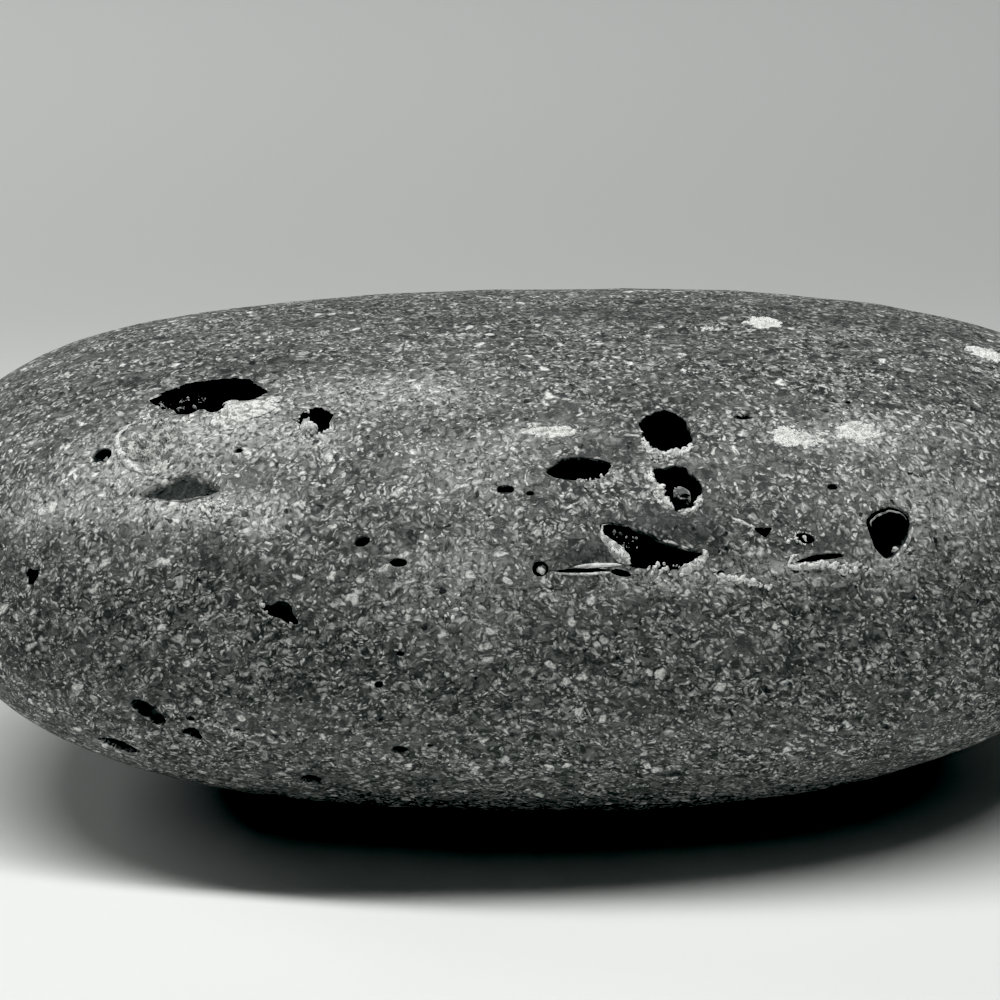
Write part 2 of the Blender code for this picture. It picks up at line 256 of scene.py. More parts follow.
@dataclass(frozen=True)
class Pebble:
    """The pebble's worn form, sized from its box in the frame."""

    low: Array
    high: Array
    foot_depth: float = 18.1 * MM
    foot_wear: float = 0.8 * MM
    plan_squareness: float = 2.4
    crown_squareness: float = 3.0
    keel_squareness: float = 2.25
    swells: tuple[Swell, ...] = (
        Swell(-38, 100, 0.026, 0.30),
        Swell(-14, -45, -0.024, 0.30),
        Swell(16, -42, -0.007, 0.28),
        Swell(-45, -30, 0.020, 0.35),
        Swell(24, 195, 0.016, 0.55),
        Swell(-26, 160, -0.014, 0.45),
        Swell(-8, 240, 0.012, 0.50),
    )

    @property
    def centre(self) -> Array:
        """Middle of the widest level."""
        return np.array([0, 0, self.foot_depth])

    def stretch(self, above: Array) -> Array:
        """Half sizes along X, Y and Z for places above or below the widest level."""
        half = np.abs(np.stack([self.low, self.high])[:, :2]).min(axis=0)
        crown = self.high[2] - self.foot_depth
        height = np.where(above, crown, self.foot_depth + self.foot_wear)
        return np.stack([np.full_like(height, half[0]), np.full_like(height, half[1]), height], axis=-1)

    def skin(self, directions: Array) -> Array:
        """Points of the unworn skin for directions on the unit sphere.

        The plan's rounded length p is (|x|^s + |y|^s)^(1/s), a direction's reach is
        (p^t + |z|^t)^(-1/t) with t from the crown or the keel, and each swell multiplies the reach
        by 1 + rise * exp(-(distance / spread)^2).
        """
        above = directions[..., 2] > 0
        power = np.where(above, self.crown_squareness, self.keel_squareness)
        sides = np.abs(directions)
        flat = self.plan_squareness
        plan = (sides[..., 0] ** flat + sides[..., 1] ** flat) ** (1 / flat)
        reach = (plan**power + sides[..., 2] ** power) ** (-1 / power)
        for swell in self.swells:
            gap = np.linalg.norm(directions - toward(swell.lat, swell.turn), axis=-1)
            reach = reach * (1 + swell.rise * np.exp(-((gap / swell.spread) ** 2)))
        return directions * self.stretch(above) * reach[..., None] + self.centre

    def over(self, points: Array) -> Array:
        """Points of the skin in line with the centre and the given points."""
        away = points - self.centre
        return self.skin(unit(away / self.stretch(away[..., 2] > 0)))

    def spot(self, lat: float, turn: float, spin: float = 0.0) -> Spot:
        """Axes of a place on the skin, with the first turned by spin towards the crown."""
        step = 0.5
        origin = self.skin(toward(lat, turn))
        along = unit(self.skin(toward(lat + step, turn)) - self.skin(toward(lat - step, turn)))
        crownward = self.skin(toward(lat, turn + step)) - self.skin(toward(lat, turn - step))
        outward = unit(np.cross(along, crownward))
        across = np.cross(outward, along)
        c, s = np.cos(np.radians(spin)), np.sin(np.radians(spin))
        return Spot(self, origin, c * along + s * across, c * across - s * along, outward)

    def beneath(self, point: Array, spin: float = 0.0) -> Spot:
        """Axes of the skin's place in line with the centre and a point inside the stone."""
        away = point - self.centre
        x, y, z = unit(away / self.stretch(np.array(away[2] > 0)))
        return self.spot(np.degrees(np.arcsin(x)), np.degrees(np.arctan2(z, -y)), spin)


@dataclass(frozen=True)
class Spot:
    """A place on the skin, with axes along it, across it towards the crown, and out of it."""

    pebble: Pebble
    origin: Array
    along: Array
    across: Array
    outward: Array

    def wrap(self, x_mm: Array, y_mm: Array, depth_mm: Array) -> Array:
        """Points laid on the curved skin at x and y, then sunk straight in by a depth."""
        flat = self.origin + MM * (x_mm[..., None] * self.along + y_mm[..., None] * self.across)
        return self.pebble.over(flat) - MM * depth_mm[..., None] * self.outward

    def near(self, point: Array) -> float:
        """Depth in millimetres of a point below the skin over it."""
        return float((self.origin - point) @ self.outward / MM)


# ---------------------------------------------------------------- gas bubbles


class Outline(Enum):
    """Shape of a bubble's mouth, as (pinch of its ends, three-cornered share, flat top share)."""

    OVAL = (0.0, 0.0, 0.0)
    LENS = (0.55, 0.0, 0.0)
    BOAT = (0.30, 0.06, 0.25)
    WEDGE = (0.12, 0.26, 0.0)


@dataclass(frozen=True)
class Vesicle:
    """An open gas bubble, sized across its mouth.

    The mouth's edge is x = long/2 * cos t and y = wide/2 * sin t * |sin t|^pinch, times a length that
    a three-cornered share and ripples change round the edge. The wall at depth = deep * sin a has the
    mouth's shape times cos(a)^0.55 * (1 + undercut * sin 2a), and slides by lean on its way down.
    """

    lat: float
    turn: float
    long_mm: float
    wide_mm: float
    deep_mm: float
    spin: float = 0.0
    outline: Outline = Outline.OVAL
    corner: float = 90.0
    lean_mm: float = 0.0
    undercut: float = 0.10
    ragged: float = 0.10
    lip_mm: float = 0.10
    rough_mm: float = 0.08
    bowl: float = 0.55
    seed: int = 1
    drawn: tuple[tuple[float, float], ...] = ()

    @property
    def middle(self) -> Array:
        """Middle of the mouth, in millimetres along and across."""
        return (np.max(self.drawn, axis=0) + np.min(self.drawn, axis=0)) / 2 if self.drawn else np.zeros(2)

    def mouth(self, angle: Array) -> tuple[Array, Array]:
        """Edge of the mouth.

        Args:
            angle: radians round the mouth's middle, from along towards across.

        Returns:
            Millimetres along and across.
        """
        pinch, corners, flat = self.outline.value
        c, s = np.cos(angle), np.sin(angle)
        x, y = self.long_mm / 2 * c, self.wide_mm / 2 * s * np.abs(s) ** pinch
        y = np.where(y > 0, y * (1 - flat), y)
        reach = 1 + corners * np.cos(3 * (angle - np.radians(self.corner)))
        if self.drawn:
            x, y = self.traced(angle)
            reach = 1.0
        place = np.stack([x, y, np.full_like(x, 3.7 * self.seed)], axis=-1)
        size = min(1.0, self.wide_mm / 2)
        reach = reach + self.ragged * size * (0.7 * ripples(place, 1.5, 31) + 0.5 * ripples(place, 0.5, 32))
        return x * reach + self.middle[0], y * reach + self.middle[1]

    def traced(self, angle: Array) -> tuple[Array, Array]:
        """Edge through the drawn corners, as a closed smooth curve about the mouth's middle.

        Between corners b and c, with neighbours a and d, a point at share s is
        b + s (c - a)/2 + s^2 (2a - 5b + 4c - d)/2 + s^3 (3b - 3c + d - a)/2.

        Args:
            angle: radians round the middle.

        Returns:
            Millimetres along and across from the middle.
        """
        b = np.array(self.drawn) - self.middle
        a, c, d = np.roll(b, 1, axis=0), np.roll(b, -1, axis=0), np.roll(b, -2, axis=0)
        s = np.linspace(0, 1, 24, endpoint=False)[None, :, None]
        a, b, c, d = (part[:, None, :] for part in (a, b, c, d))
        curve = b + s * (c - a) / 2 + s**2 * (2 * a - 5 * b + 4 * c - d) / 2
        curve = (curve + s**3 * (3 * b - 3 * c + d - a) / 2).reshape(-1, 2)
        facing = np.arctan2(curve[:, 1], curve[:, 0])
        order = np.argsort(facing)
        reach = np.interp(angle, facing[order], np.hypot(*curve[order].T), period=2 * np.pi)
        return reach * np.cos(angle), reach * np.sin(angle)

    def cutter(self, pebble: Pebble, name: str) -> bpy.types.Object:
        """Closed surface that cuts the bubble out of the pebble.

        Args:
            pebble: the form that the bubble opens in.
            name: the object's name.

        Returns:
            The cutting object.
        """
        spot = pebble.spot(self.lat, self.turn, self.spin)
        around = int(np.clip((self.long_mm + self.wide_mm) * 1.57 / ROUND_STEP_MM, 22, 110))
        down = int(np.clip(self.deep_mm / DOWN_STEP_MM, 5, 18))
        angle = np.linspace(0, 2 * np.pi, around, endpoint=False)
        x, y = self.mouth(angle)
        top, start = LIP_LEVELS_MM[0], LIP_LEVELS_MM[-1]
        wall = np.linspace(*WALL_ANGLES, down)
        depth = np.concatenate([LIP_LEVELS_MM, start + (self.deep_mm - start) * np.sin(wall)])
        swing = np.concatenate([np.zeros(len(LIP_LEVELS_MM)), wall])
        shape = np.cos(swing) ** self.bowl * (1 + self.undercut * np.sin(2 * swing))
        flare = self.lip_mm * np.clip(1 - depth / (1.6 * self.lip_mm), 0, 2.2) ** 1.6
        x, y = x - self.middle[0], y - self.middle[1]
        length = np.hypot(x, y)[None, :]
        rim = 1 + flare[:, None] / length
        slide = self.lean_mm * (np.clip(depth, 0, None) / self.deep_mm) ** 0.8
        wide_x = x[None, :] * shape[:, None] * rim + self.middle[0]
        wide_y = y[None, :] * shape[:, None] * rim + self.middle[1] + slide[:, None]
        place = np.stack([wide_x, wide_y, np.repeat(depth[:, None], around, axis=1)], axis=-1)
        noise = ripples(place + 5.1 * self.seed, 0.55, 41) + 0.7 * ripples(place + self.seed, 1.2, 42)
        below = smooth_step(depth, 0.05, 0.5)[:, None]
        push = self.rough_mm * noise * below * min(1.0, self.deep_mm / 1.5)
        wide_x = wide_x + push * np.cos(angle)
        wide_y = wide_y + push * np.sin(angle)
        rings = spot.wrap(wide_x, wide_y, place[..., 2])
        x, y = self.middle[:1], self.middle[1:]
        first = spot.wrap(x, y, np.array([top]))[0]
        last = spot.wrap(x, y + self.lean_mm, np.array([self.deep_mm]))[0]
        return closed_grid(name, rings, first, last)


BUBBLES: dict[str, Vesicle] = {
    "cave": Vesicle(
        -26, 63, 7.2, 5.6, 3.0, lean_mm=1.5, ragged=0.07, undercut=0.25, bowl=0.45, rough_mm=0.16, seed=1,
        drawn=(
            (3.3, -0.7), (2.6, 0.5), (1.7, 1.8), (-0.1, 2.3), (-1.7, 2.1), (-3.1, 1.3), (-4.2, -0.2),
            (-3.5, -1.9), (-2.4, -2.5), (-1.4, -3.3), (-0.5, -2.7), (0.3, -3.4), (1.3, -2.5), (2.3, -2.0),
        ),
    ),
    "basin": Vesicle(
        -31, 50, 4.4, 6.0, 0.90, ragged=0.06, lip_mm=0.15, rough_mm=0.12, bowl=0.8, undercut=0.0, seed=2,
        drawn=(
            (2.9, -0.9), (2.2, 0.8), (0.5, 2.0), (-1.0, 2.3), (-1.7, 1.4), (-1.7, 0.2), (-0.8, -1.9),
            (0.4, -3.2), (1.6, -3.6), (2.6, -2.7),
        ),
    ),
    "small_round": Vesicle(
        -17, 52, 2.1, 3.2, 1.6, lean_mm=0.5, undercut=0.15, seed=3,
        drawn=(
            (0.8, 0.4), (0.4, 1.6), (-0.5, 2.0), (-1.1, 1.4), (-1.3, 0.3), (-0.8, -1.2), (0.1, -1.4),
            (0.7, -0.8),
        ),
    ),
    "lens": Vesicle(
        -27.5, 37.5, 5.0, 2.0, 0.75, lean_mm=-0.45, ragged=0.06, undercut=0.0, bowl=0.8, lip_mm=0.06, seed=4,
        drawn=(
            (2.6, 0.0), (1.3, 0.7), (0.6, 1.2), (-0.2, 1.3), (-0.9, 0.8), (-1.9, 0.3), (-2.6, -0.4),
            (-1.2, -0.7), (0.1, -0.8), (1.8, -0.5),
        ),
    ),
    "black_round": Vesicle(
        9, 47.5, 3.0, 4.6, 2.7, lean_mm=0.6, undercut=0.15, ragged=0.07, seed=5,
        drawn=(
            (1.5, 0.5), (1.1, 2.1), (0.2, 2.6), (-0.7, 2.2), (-1.4, 1.6), (-1.4, -0.3), (-1.2, -1.6),
            (-0.4, -2.1), (0.6, -2.1), (1.4, -1.1),
        ),
    ),
    "twin": Vesicle(
        9.5, 35, 2.9, 3.4, 2.3, lean_mm=0.2, undercut=0.12, ragged=0.08, seed=6,
        drawn=(
            (1.5, 0.1), (1.25, 1.0), (0.7, 1.6), (-0.3, 1.8), (-1.1, 1.6), (-1.3, 0.8), (-1.0, 0.0),
            (-0.6, -0.8), (0.0, -1.5), (0.7, -1.5), (1.3, -0.9),
        ),
    ),
    "boat": Vesicle(
        7.5, 22, 6.1, 2.8, 2.3, lean_mm=-0.50, undercut=0.0, bowl=0.85, ragged=0.03, lip_mm=0.07, seed=7,
        drawn=(
            (3.4, -0.3), (3.0, 0.0), (2.2, 0.1), (1.6, 0.4), (0.9, 0.6), (0.3, 1.0), (-0.5, 1.25),
            (-1.7, 1.7), (-2.6, 1.6), (-2.6, 0.8), (-2.0, 0.1), (-1.4, -0.4), (-0.9, -0.9), (0.9, -1.1),
            (2.0, -1.1), (2.8, -0.8),
        ),
    ),
    "slot": Vesicle(
        2.7, 17.5, 3.6, 0.22, 0.7, 0, Outline.LENS,
        ragged=0.03, lip_mm=0.03, undercut=0.0, rough_mm=0.02, seed=8,
    ),
    "slot_tail": Vesicle(5.7, 16.7, 1.2, 0.42, 0.7, -14, ragged=0.10, lip_mm=0.03, undercut=0.0, seed=13),
    "slot_end": Vesicle(-0.6, 18, 0.95, 0.9, 0.6, ragged=0.08, lip_mm=0.04, seed=9),
    "oval": Vesicle(
        26.5, 24, 2.7, 2.9, 2.0, undercut=0.08, ragged=0.03, lip_mm=0.12, seed=10,
        drawn=(
            (1.4, 0.3), (1.4, 1.2), (0.5, 1.6), (-0.6, 1.4), (-1.2, 0.9), (-1.2, 0.2), (-0.9, -0.7),
            (-0.3, -1.4), (0.3, -1.35), (0.9, -0.7),
        ),
    ),
    "slit": Vesicle(
        21.5, 19.5, 3.4, 0.7, 0.9, lean_mm=-0.25, ragged=0.06, lip_mm=0.06, rough_mm=0.03, bowl=0.9, seed=11,
        drawn=(
            (1.5, 0.0), (0.6, 0.14), (-0.4, 0.12), (-1.2, -0.06), (-2.0, -0.34), (-1.1, -0.32), (-0.3, -0.24),
            (0.6, -0.2),
        ),
    ),
    "wedge_pit": Vesicle(
        16.5, 25, 1.2, 0.6, 0.7, ragged=0.03, lip_mm=0.04, seed=12,
        drawn=((0.45, 0.42), (-0.2, 0.40), (-0.8, 0.42), (-0.4, 0.15), (0.0, -0.15), (0.25, 0.1)),
    ),
    "left_lens": Vesicle(
        2.5, 40, 3.8, 1.8, 1.5, lean_mm=0.25, undercut=0.10, ragged=0.06, seed=21,
        drawn=(
            (1.8, 0.4), (0.6, 0.8), (-0.7, 0.9), (-1.4, 0.3), (-2.0, -0.2), (-1.3, -0.7), (-0.3, -0.9),
            (0.9, -0.9), (1.5, -0.4),
        ),
    ),
}

OPEN_BUBBLES: tuple[Vesicle, ...] = (
    Vesicle(-34.5, 47, 1.25, 1.45, 0.9, 15, lean_mm=0.2, seed=22),
    Vesicle(-21.5, 6.5, 2.0, 1.1, 0.8, -25, Outline.WEDGE, 90, seed=23),
    Vesicle(-14, 25, 0.9, 0.5, 0.5, 20, seed=24),
    Vesicle(-11.5, 20, 1.0, 0.5, 0.5, seed=25),
    Vesicle(-33.4, -19.6, 1.7, 1.2, 0.9, -20, seed=26),
    Vesicle(-32.3, -21.6, 1.2, 1.1, 0.8, -50, seed=36),
    Vesicle(-29.2, -24.1, 1.2, 0.8, 0.7, -15, Outline.WEDGE, 200, seed=27),
    Vesicle(-36.1, -33.8, 2.7, 1.7, 0.9, -12, Outline.LENS, ragged=0.05, lip_mm=0.04, seed=28),
    Vesicle(19.7, 23.9, 1.25, 0.62, 0.5, -16, Outline.LENS, lip_mm=0.06, seed=37),
    Vesicle(-19.7, -37.0, 1.3, 1.9, 0.9, ragged=0.08, seed=29),
    Vesicle(-12.1, -24.4, 1.0, 0.7, 0.6, -8, seed=30),
    Vesicle(-45, 12, 1.1, 0.9, 0.8, 50, Outline.WEDGE, 90, seed=31),
    Vesicle(15, 51.5, 1.2, 0.5, 0.5, seed=32),
    Vesicle(27.5, 82, 1.2, 0.7, 0.5, seed=33),
    Vesicle(-3, 36, 1.0, 0.6, 0.5, seed=34),
    Vesicle(58, 60, 1.6, 1.0, 0.8, seed=35),
    Vesicle(-18, 128, 4.2, 2.2, 1.8, 15, seed=36),
    Vesicle(14, 142, 2.4, 1.9, 1.5, seed=37),
    Vesicle(31, 165, 3.0, 1.3, 1.1, -10, Outline.LENS, seed=38),
    Vesicle(-33, 178, 1.7, 1.2, 1.0, seed=39),
    Vesicle(4, 186, 5.0, 1.6, 1.4, 5, Outline.BOAT, seed=40),
    Vesicle(-9, 208, 1.5, 1.0, 0.8, seed=41),
    Vesicle(22, 222, 2.2, 1.5, 1.1, 30, seed=42),
    Vesicle(-30, 238, 3.2, 1.4, 1.2, -8, seed=43),
    Vesicle(34, -55, 1.9, 1.1, 0.9, 12, seed=44),
)

# Each pinhole's lat, turn and size in millimetres.
PINHOLES: tuple[tuple[float, float, float], ...] = (
    (-12.0, -3.0, 0.45),
    (-9.7, -23.0, 0.40),
    (13.5, 16.0, 0.45),
    (23.5, 56.0, 0.50),
    (21.3, 35.5, 0.55),
    (27.5, 38.5, 0.40),
    (28.5, 81.0, 0.45),
    (-22.8, 46.0, 0.60),
    (-29.3, -20.0, 0.55),
    (-1.2, 35.0, 0.45),
    (21.1, 35.4, 0.40),
    (14.9, 14.2, 0.45),
)


Patch = tuple[float, float, float, float, float]


@dataclass(frozen=True)
class BasaltPebble:
    """The worn basalt body, with every bubble cut from it."""

    form: Pebble
    edge_rows: int = 90
    stray_pinholes: int = 26
    stray_gap: float = 12.0
    stray_seed: int = 77
    sharp_degrees: float = 38.0

    def blank(self) -> bpy.types.Object:
        """Uncut pebble: a cube's grid pushed out to the skin, with soft wear ripples."""
        rows = self.edge_rows
        span = np.arange(rows + 1)
        u, v = np.meshgrid(span, span, indexing="ij")
        sides = []
        for axis in range(3):
            for end in (0, rows):
                grid = np.empty((rows + 1, rows + 1, 3), dtype=np.int64)
                grid[..., axis] = end
                grid[..., (axis + 1) % 3] = u if end else v
                grid[..., (axis + 2) % 3] = v if end else u
                sides.append(grid.reshape(-1, 3))
        lattice, number = np.unique(np.concatenate(sides), axis=0, return_inverse=True)
        number = number.reshape(6, rows + 1, rows + 1)
        quads = np.stack(
            [number[:, :-1, :-1], number[:, 1:, :-1], number[:, 1:, 1:], number[:, :-1, 1:]], axis=-1
        ).reshape(-1, 4)
        cube = np.tan((2 * lattice / rows - 1) * np.pi / 4)
        directions = unit(cube)
        points = self.form.skin(directions)
        place = points / MM
        relief = 0.050 * ripples(place, 8.0, 51) + 0.030 * ripples(place, 3.2, 52, 24)
        points = points + directions * (MM * (relief - 0.02))[:, None]
        points[:, 2] = np.maximum(points[:, 2], 0.0)
        points = np.clip(points, self.form.low, self.form.high)
        return mesh_object("uncut", points, quads)

    def cutters(self) -> list[bpy.types.Object]:
        """Cutting surfaces of the bubbles and pinholes, and of strays well away from the bubbles."""
        shown = [*BUBBLES.values(), *OPEN_BUBBLES]
        every = shown + [Vesicle(a, t, s, 0.75 * s, 0.6 * s, lip_mm=0.04, seed=60) for a, t, s in PINHOLES]
        rng = np.random.default_rng(self.stray_seed)
        for lat, turn, size in zip(
            np.degrees(np.arcsin(rng.uniform(-0.85, 0.85, self.stray_pinholes))),
            rng.uniform(0, 360, self.stray_pinholes),
            rng.uniform(0.35, 0.7, self.stray_pinholes),
        ):
            gaps = [np.hypot(lat - b.lat, (turn - b.turn + 180) % 360 - 180) for b in shown]
            if min(gaps) > self.stray_gap:
                every.append(Vesicle(lat, turn, size, 0.7 * size, 0.7 * size, 25, lip_mm=0.04, seed=61))
        return [bubble.cutter(self.form, f"cutter_{i}") for i, bubble in enumerate(every)]

    def build(self) -> bpy.types.Object:
        """Cut pebble with its surface attributes."""
        body = self.blank()
        cutters = self.cutters()
        group = bpy.data.collections.new("cutters")
        for cutter in cutters:
            bpy.context.scene.collection.objects.unlink(cutter)
            group.objects.link(cutter)
        cut = body.modifiers.new("bubbles", "BOOLEAN")
        cut.operation, cut.solver = "DIFFERENCE", "EXACT"
        cut.operand_type, cut.collection = "COLLECTION", group
        cut.use_self = True
        bpy.context.scene.collection.children.link(group)
        bpy.context.view_layer.update()
        shaped = bpy.data.meshes.new_from_object(body.evaluated_get(bpy.context.evaluated_depsgraph_get()))
        shaped.name = "worn_pebble"
        for item in [body, *cutters]:
            bpy.data.objects.remove(item, do_unlink=True)
        bpy.data.collections.remove(group)
        piece = linked("worn_pebble", shaped)
        shaped.shade_smooth()
        shaped.set_sharp_from_angle(angle=np.radians(self.sharp_degrees))
        self.mark(shaped)
        return piece

    def mark(self, mesh: bpy.types.Mesh) -> None:
        """Write whether each point is in a bubble and how deep, how dusty it is and how polished.

        Args:
            mesh: the cut pebble.
        """
        points = mesh_points(mesh)
        depth = np.linalg.norm(self.form.over(points) - points, axis=1) / MM
        depth = depth * smooth_step(points[:, 2] / MM, 0.0, 1.5)
        marks = {
            # hollow_shade and depth tell the material where to paint the bubbles' shade.
            "hollow_shade": smooth_step(depth, 0.10, 0.45),
            "depth": np.clip(depth, 0, 3),
            "dust": self.patches(points, DUSTY),
            "polish": self.patches(points, POLISHED),
        }
        for name, values in marks.items():
            layer = mesh.attributes.new(name, "FLOAT", "POINT")
            layer.data.foreach_set("value", values.astype(np.float32))

    def patches(self, points: Array, patches: tuple[Patch, ...]) -> Array:
        """The strongest of the soft oval patches at each point.

        A patch is amount * exp(-(x / x_mm)^2 - (y / y_mm)^2 - (out / 4 mm)^2).

        Args:
            points: the places to weigh, in metres.
            patches: each patch's lat, turn, half sizes along and round the stone, and amount.

        Returns:
            The amount at each point, falling to zero away from the patches.
        """
        most = np.zeros(len(points))
        for lat, turn, x_mm, y_mm, amount in patches:
            spot = self.form.spot(lat, turn)
            away = (points - spot.origin) / MM
            x, y, out = away @ spot.along, away @ spot.across, away @ spot.outward
            soft = np.exp(-((x / x_mm) ** 2) - (y / y_mm) ** 2 - (out / 4.0) ** 2)
            most = np.maximum(most, amount * soft)
        return most


# Where pale dust lies on the skin, and where the skin is rubbed smooth and dark.
DUSTY: tuple[Patch, ...] = (
    (-30.0, 47.0, 5.4, 4.4, 0.9),
    (-28.0, 33.5, 5.6, 1.4, 1.0),
    (-24.0, 52.0, 4.6, 3.0, 1.0),
    (-17.5, 49.0, 2.6, 2.2, 0.9),
    (-38.0, 35.0, 5.0, 1.8, 0.7),
    (-21.0, 31.0, 1.8, 1.6, 0.8),
    (-12.0, 60.0, 7.0, 4.0, 0.6),
    (-5.0, 42.0, 4.0, 3.0, 0.5),
    (-7.0, 15.0, 5.0, 3.0, 0.5),
    (19.0, 16.5, 3.6, 0.9, 0.8),
    (9.0, 41.8, 1.5, 0.6, 0.8),
    (11.0, 15.0, 5.5, 1.0, 0.7),
    (27.5, 18.0, 2.0, 1.6, 0.7),
    (24.0, 47.5, 4.6, 2.4, 0.6),
    (0.5, 48.0, 3.4, 1.2, 0.5),
    (30.0, 30.0, 5.0, 3.0, 0.5),
)

POLISHED: tuple[Patch, ...] = (
    (9.0, 28.3, 3.2, 1.1, 1.0),
    (11.0, 25.6, 2.0, 0.7, 1.0),
    (4.5, 45.0, 2.2, 1.6, 0.8),
    (9.0, 57.0, 4.5, 1.6, 0.6),
    (-24.0, 72.0, 5.0, 1.6, 0.7),
    (-33.0, 57.0, 1.6, 3.0, 0.7),
    (21.0, 21.8, 2.4, 0.45, 0.8),
    (2.5, 21.0, 2.6, 0.6, 0.9),
    (14.0, 97.0, 26.0, 4.0, 0.6),
)


# ---------------------------------------------------------------- minerals


def outward_faces(item: bpy.types.Object) -> bpy.types.Object:
    """Turn a closed shape's faces to point out: its volume is positive when they do."""
    mesh = item.data
    mesh.calc_loop_triangles()
    points = mesh_points(mesh)
    corners = np.empty(len(mesh.loop_triangles) * 3, dtype=np.int32)
    mesh.loop_triangles.foreach_get("vertices", corners)
    a, b, c = (points - points[0])[corners.reshape(-1, 3)].transpose(1, 0, 2)
    if (a * np.cross(b, c)).sum() < 0:
        mesh.flip_normals()
    return item


def node_middle(node: str) -> Array:
    """Middle of a node's box in the frame."""
    return np.mean(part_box(node), axis=0)


@dataclass(frozen=True)
class Grain:
    """A crystalline body: an ellipsoid with tilted crystal faces.

    A point at angles a and t is (long/2 cos a, wide/2 sin a cos t, thick/2 sin a sin t), with cos a
    to a power for blunt or pointed ends, pushed out by the crystals' relief.
    """

    node: str
    name: str
    long_mm: float
    wide_mm: float
    thick_mm: float
    spin: float = 0.0
    crystal_mm: float = 0.35
    relief: float = 0.22
    point: float = 1.0
    bend_mm: float = 0.0
    lift_mm: float = 0.0
    slide_mm: tuple[float, float] = (0.0, 0.0)
    rows: int = 44
    around: int = 60
    seed: int = 1

    def build(self, form: Pebble) -> bpy.types.Object:
        """Body at its node's middle.

        Args:
            form: the pebble that the grain lies in.

        Returns:
            The piece.
        """
        middle = node_middle(self.node)
        spot = form.beneath(middle, self.spin)
        depth = spot.near(middle) - self.lift_mm
        a = np.linspace(0, np.pi, self.rows + 2)[1:-1, None]
        t = np.linspace(0, 2 * np.pi, self.around, endpoint=False)[None, :]
        slim = np.sin(a) ** self.point
        x = self.long_mm / 2 * np.cos(a) * np.ones_like(t)
        y = self.wide_mm / 2 * slim * np.cos(t)
        z = self.thick_mm / 2 * slim * np.sin(t)
        place = np.stack([x, y, z], axis=-1)
        bumps = facets(place.reshape(-1, 3) + 9.0 * self.seed, self.crystal_mm, self.seed).reshape(x.shape)
        reach = 1 + self.relief * bumps * np.sin(a) ** 0.5
        y = y * reach + self.bend_mm * (1 - (2 * x / self.long_mm) ** 2) + self.slide_mm[1]
        z = z * reach
        rings = spot.wrap(x + self.slide_mm[0], y, depth - z)
        ends = np.array([self.long_mm, -self.long_mm]) / 2 + self.slide_mm[0]
        tips = spot.wrap(ends, np.full(2, self.slide_mm[1]), np.full(2, depth))
        return outward_faces(closed_grid(self.name, rings, tips[0], tips[1]))


@dataclass(frozen=True)
class RimBand:
    """A lumpy band of crust along part of a bubble's rim, from a start angle to an end angle.

    Its middle line follows the mouth from one angle to another. Its width is the full width times
    sin(pi s^k)^taper, with s the share of the way and k set by where it is widest, and its face carries
    the crystals' relief.
    """

    name: str
    bubble: str
    start: float
    end: float
    wide_mm: float
    thick_mm: float
    inset_mm: float = 0.0
    sunk_mm: float = 0.0
    taper: float = 0.6
    widest: float = 0.5
    crystal_mm: float = 0.30
    relief: float = 0.28
    uneven: float = 0.35
    rows: int = 90
    around: int = 40
    seed: int = 1
    node: str = ""
    slot: str = "white_crust"

    def build(self, form: Pebble) -> bpy.types.Object:
        """Band on its bubble's rim.

        Args:
            form: the pebble that the band lies on.

        Returns:
            The piece.
        """
        bubble = BUBBLES[self.bubble]
        spot = form.spot(bubble.lat, bubble.turn, bubble.spin)
        s = np.linspace(0, 1, self.rows)
        angle = np.radians(self.start + (self.end - self.start) * s)
        x, y = bubble.mouth(angle)
        step = np.gradient(np.stack([x, y], axis=-1), axis=0)
        side = unit(np.stack([step[:, 1], -step[:, 0]], axis=-1)) * np.sign(self.end - self.start)
        line = np.stack([x, y, np.full_like(x, self.seed)], axis=-1)
        swell = 1 + self.uneven * ripples(line, 0.9, self.seed)
        skew = np.clip(s, 0.004, 0.996) ** (np.log(0.5) / np.log(self.widest))
        half = np.clip(np.sin(np.pi * skew) ** self.taper * swell, 0.02, None) / 2
        t = np.linspace(0, 2 * np.pi, self.around, endpoint=False)[None, :]
        out = self.wide_mm * half[:, None] * np.cos(t)
        up = self.thick_mm * half[:, None] * np.sin(t)
        place = np.stack([x[:, None] + out, y[:, None] + up, up + 0 * out], axis=-1)
        bumps = facets(place.reshape(-1, 3), self.crystal_mm, self.seed).reshape(out.shape)
        reach = 1 + self.relief * bumps
        out, up = out * reach - self.inset_mm, up * reach
        flat_x = x[:, None] + side[:, :1] * out
        flat_y = y[:, None] + side[:, 1:] * out
        rings = spot.wrap(flat_x, flat_y, self.sunk_mm - up)
        ends = [0, -1]
        tips = spot.wrap(
            x[ends] - side[ends, 0] * self.inset_mm,
            y[ends] - side[ends, 1] * self.inset_mm,
            np.full(2, self.sunk_mm),
        )
        return outward_faces(closed_grid(self.name, rings, tips[0], tips[1]))


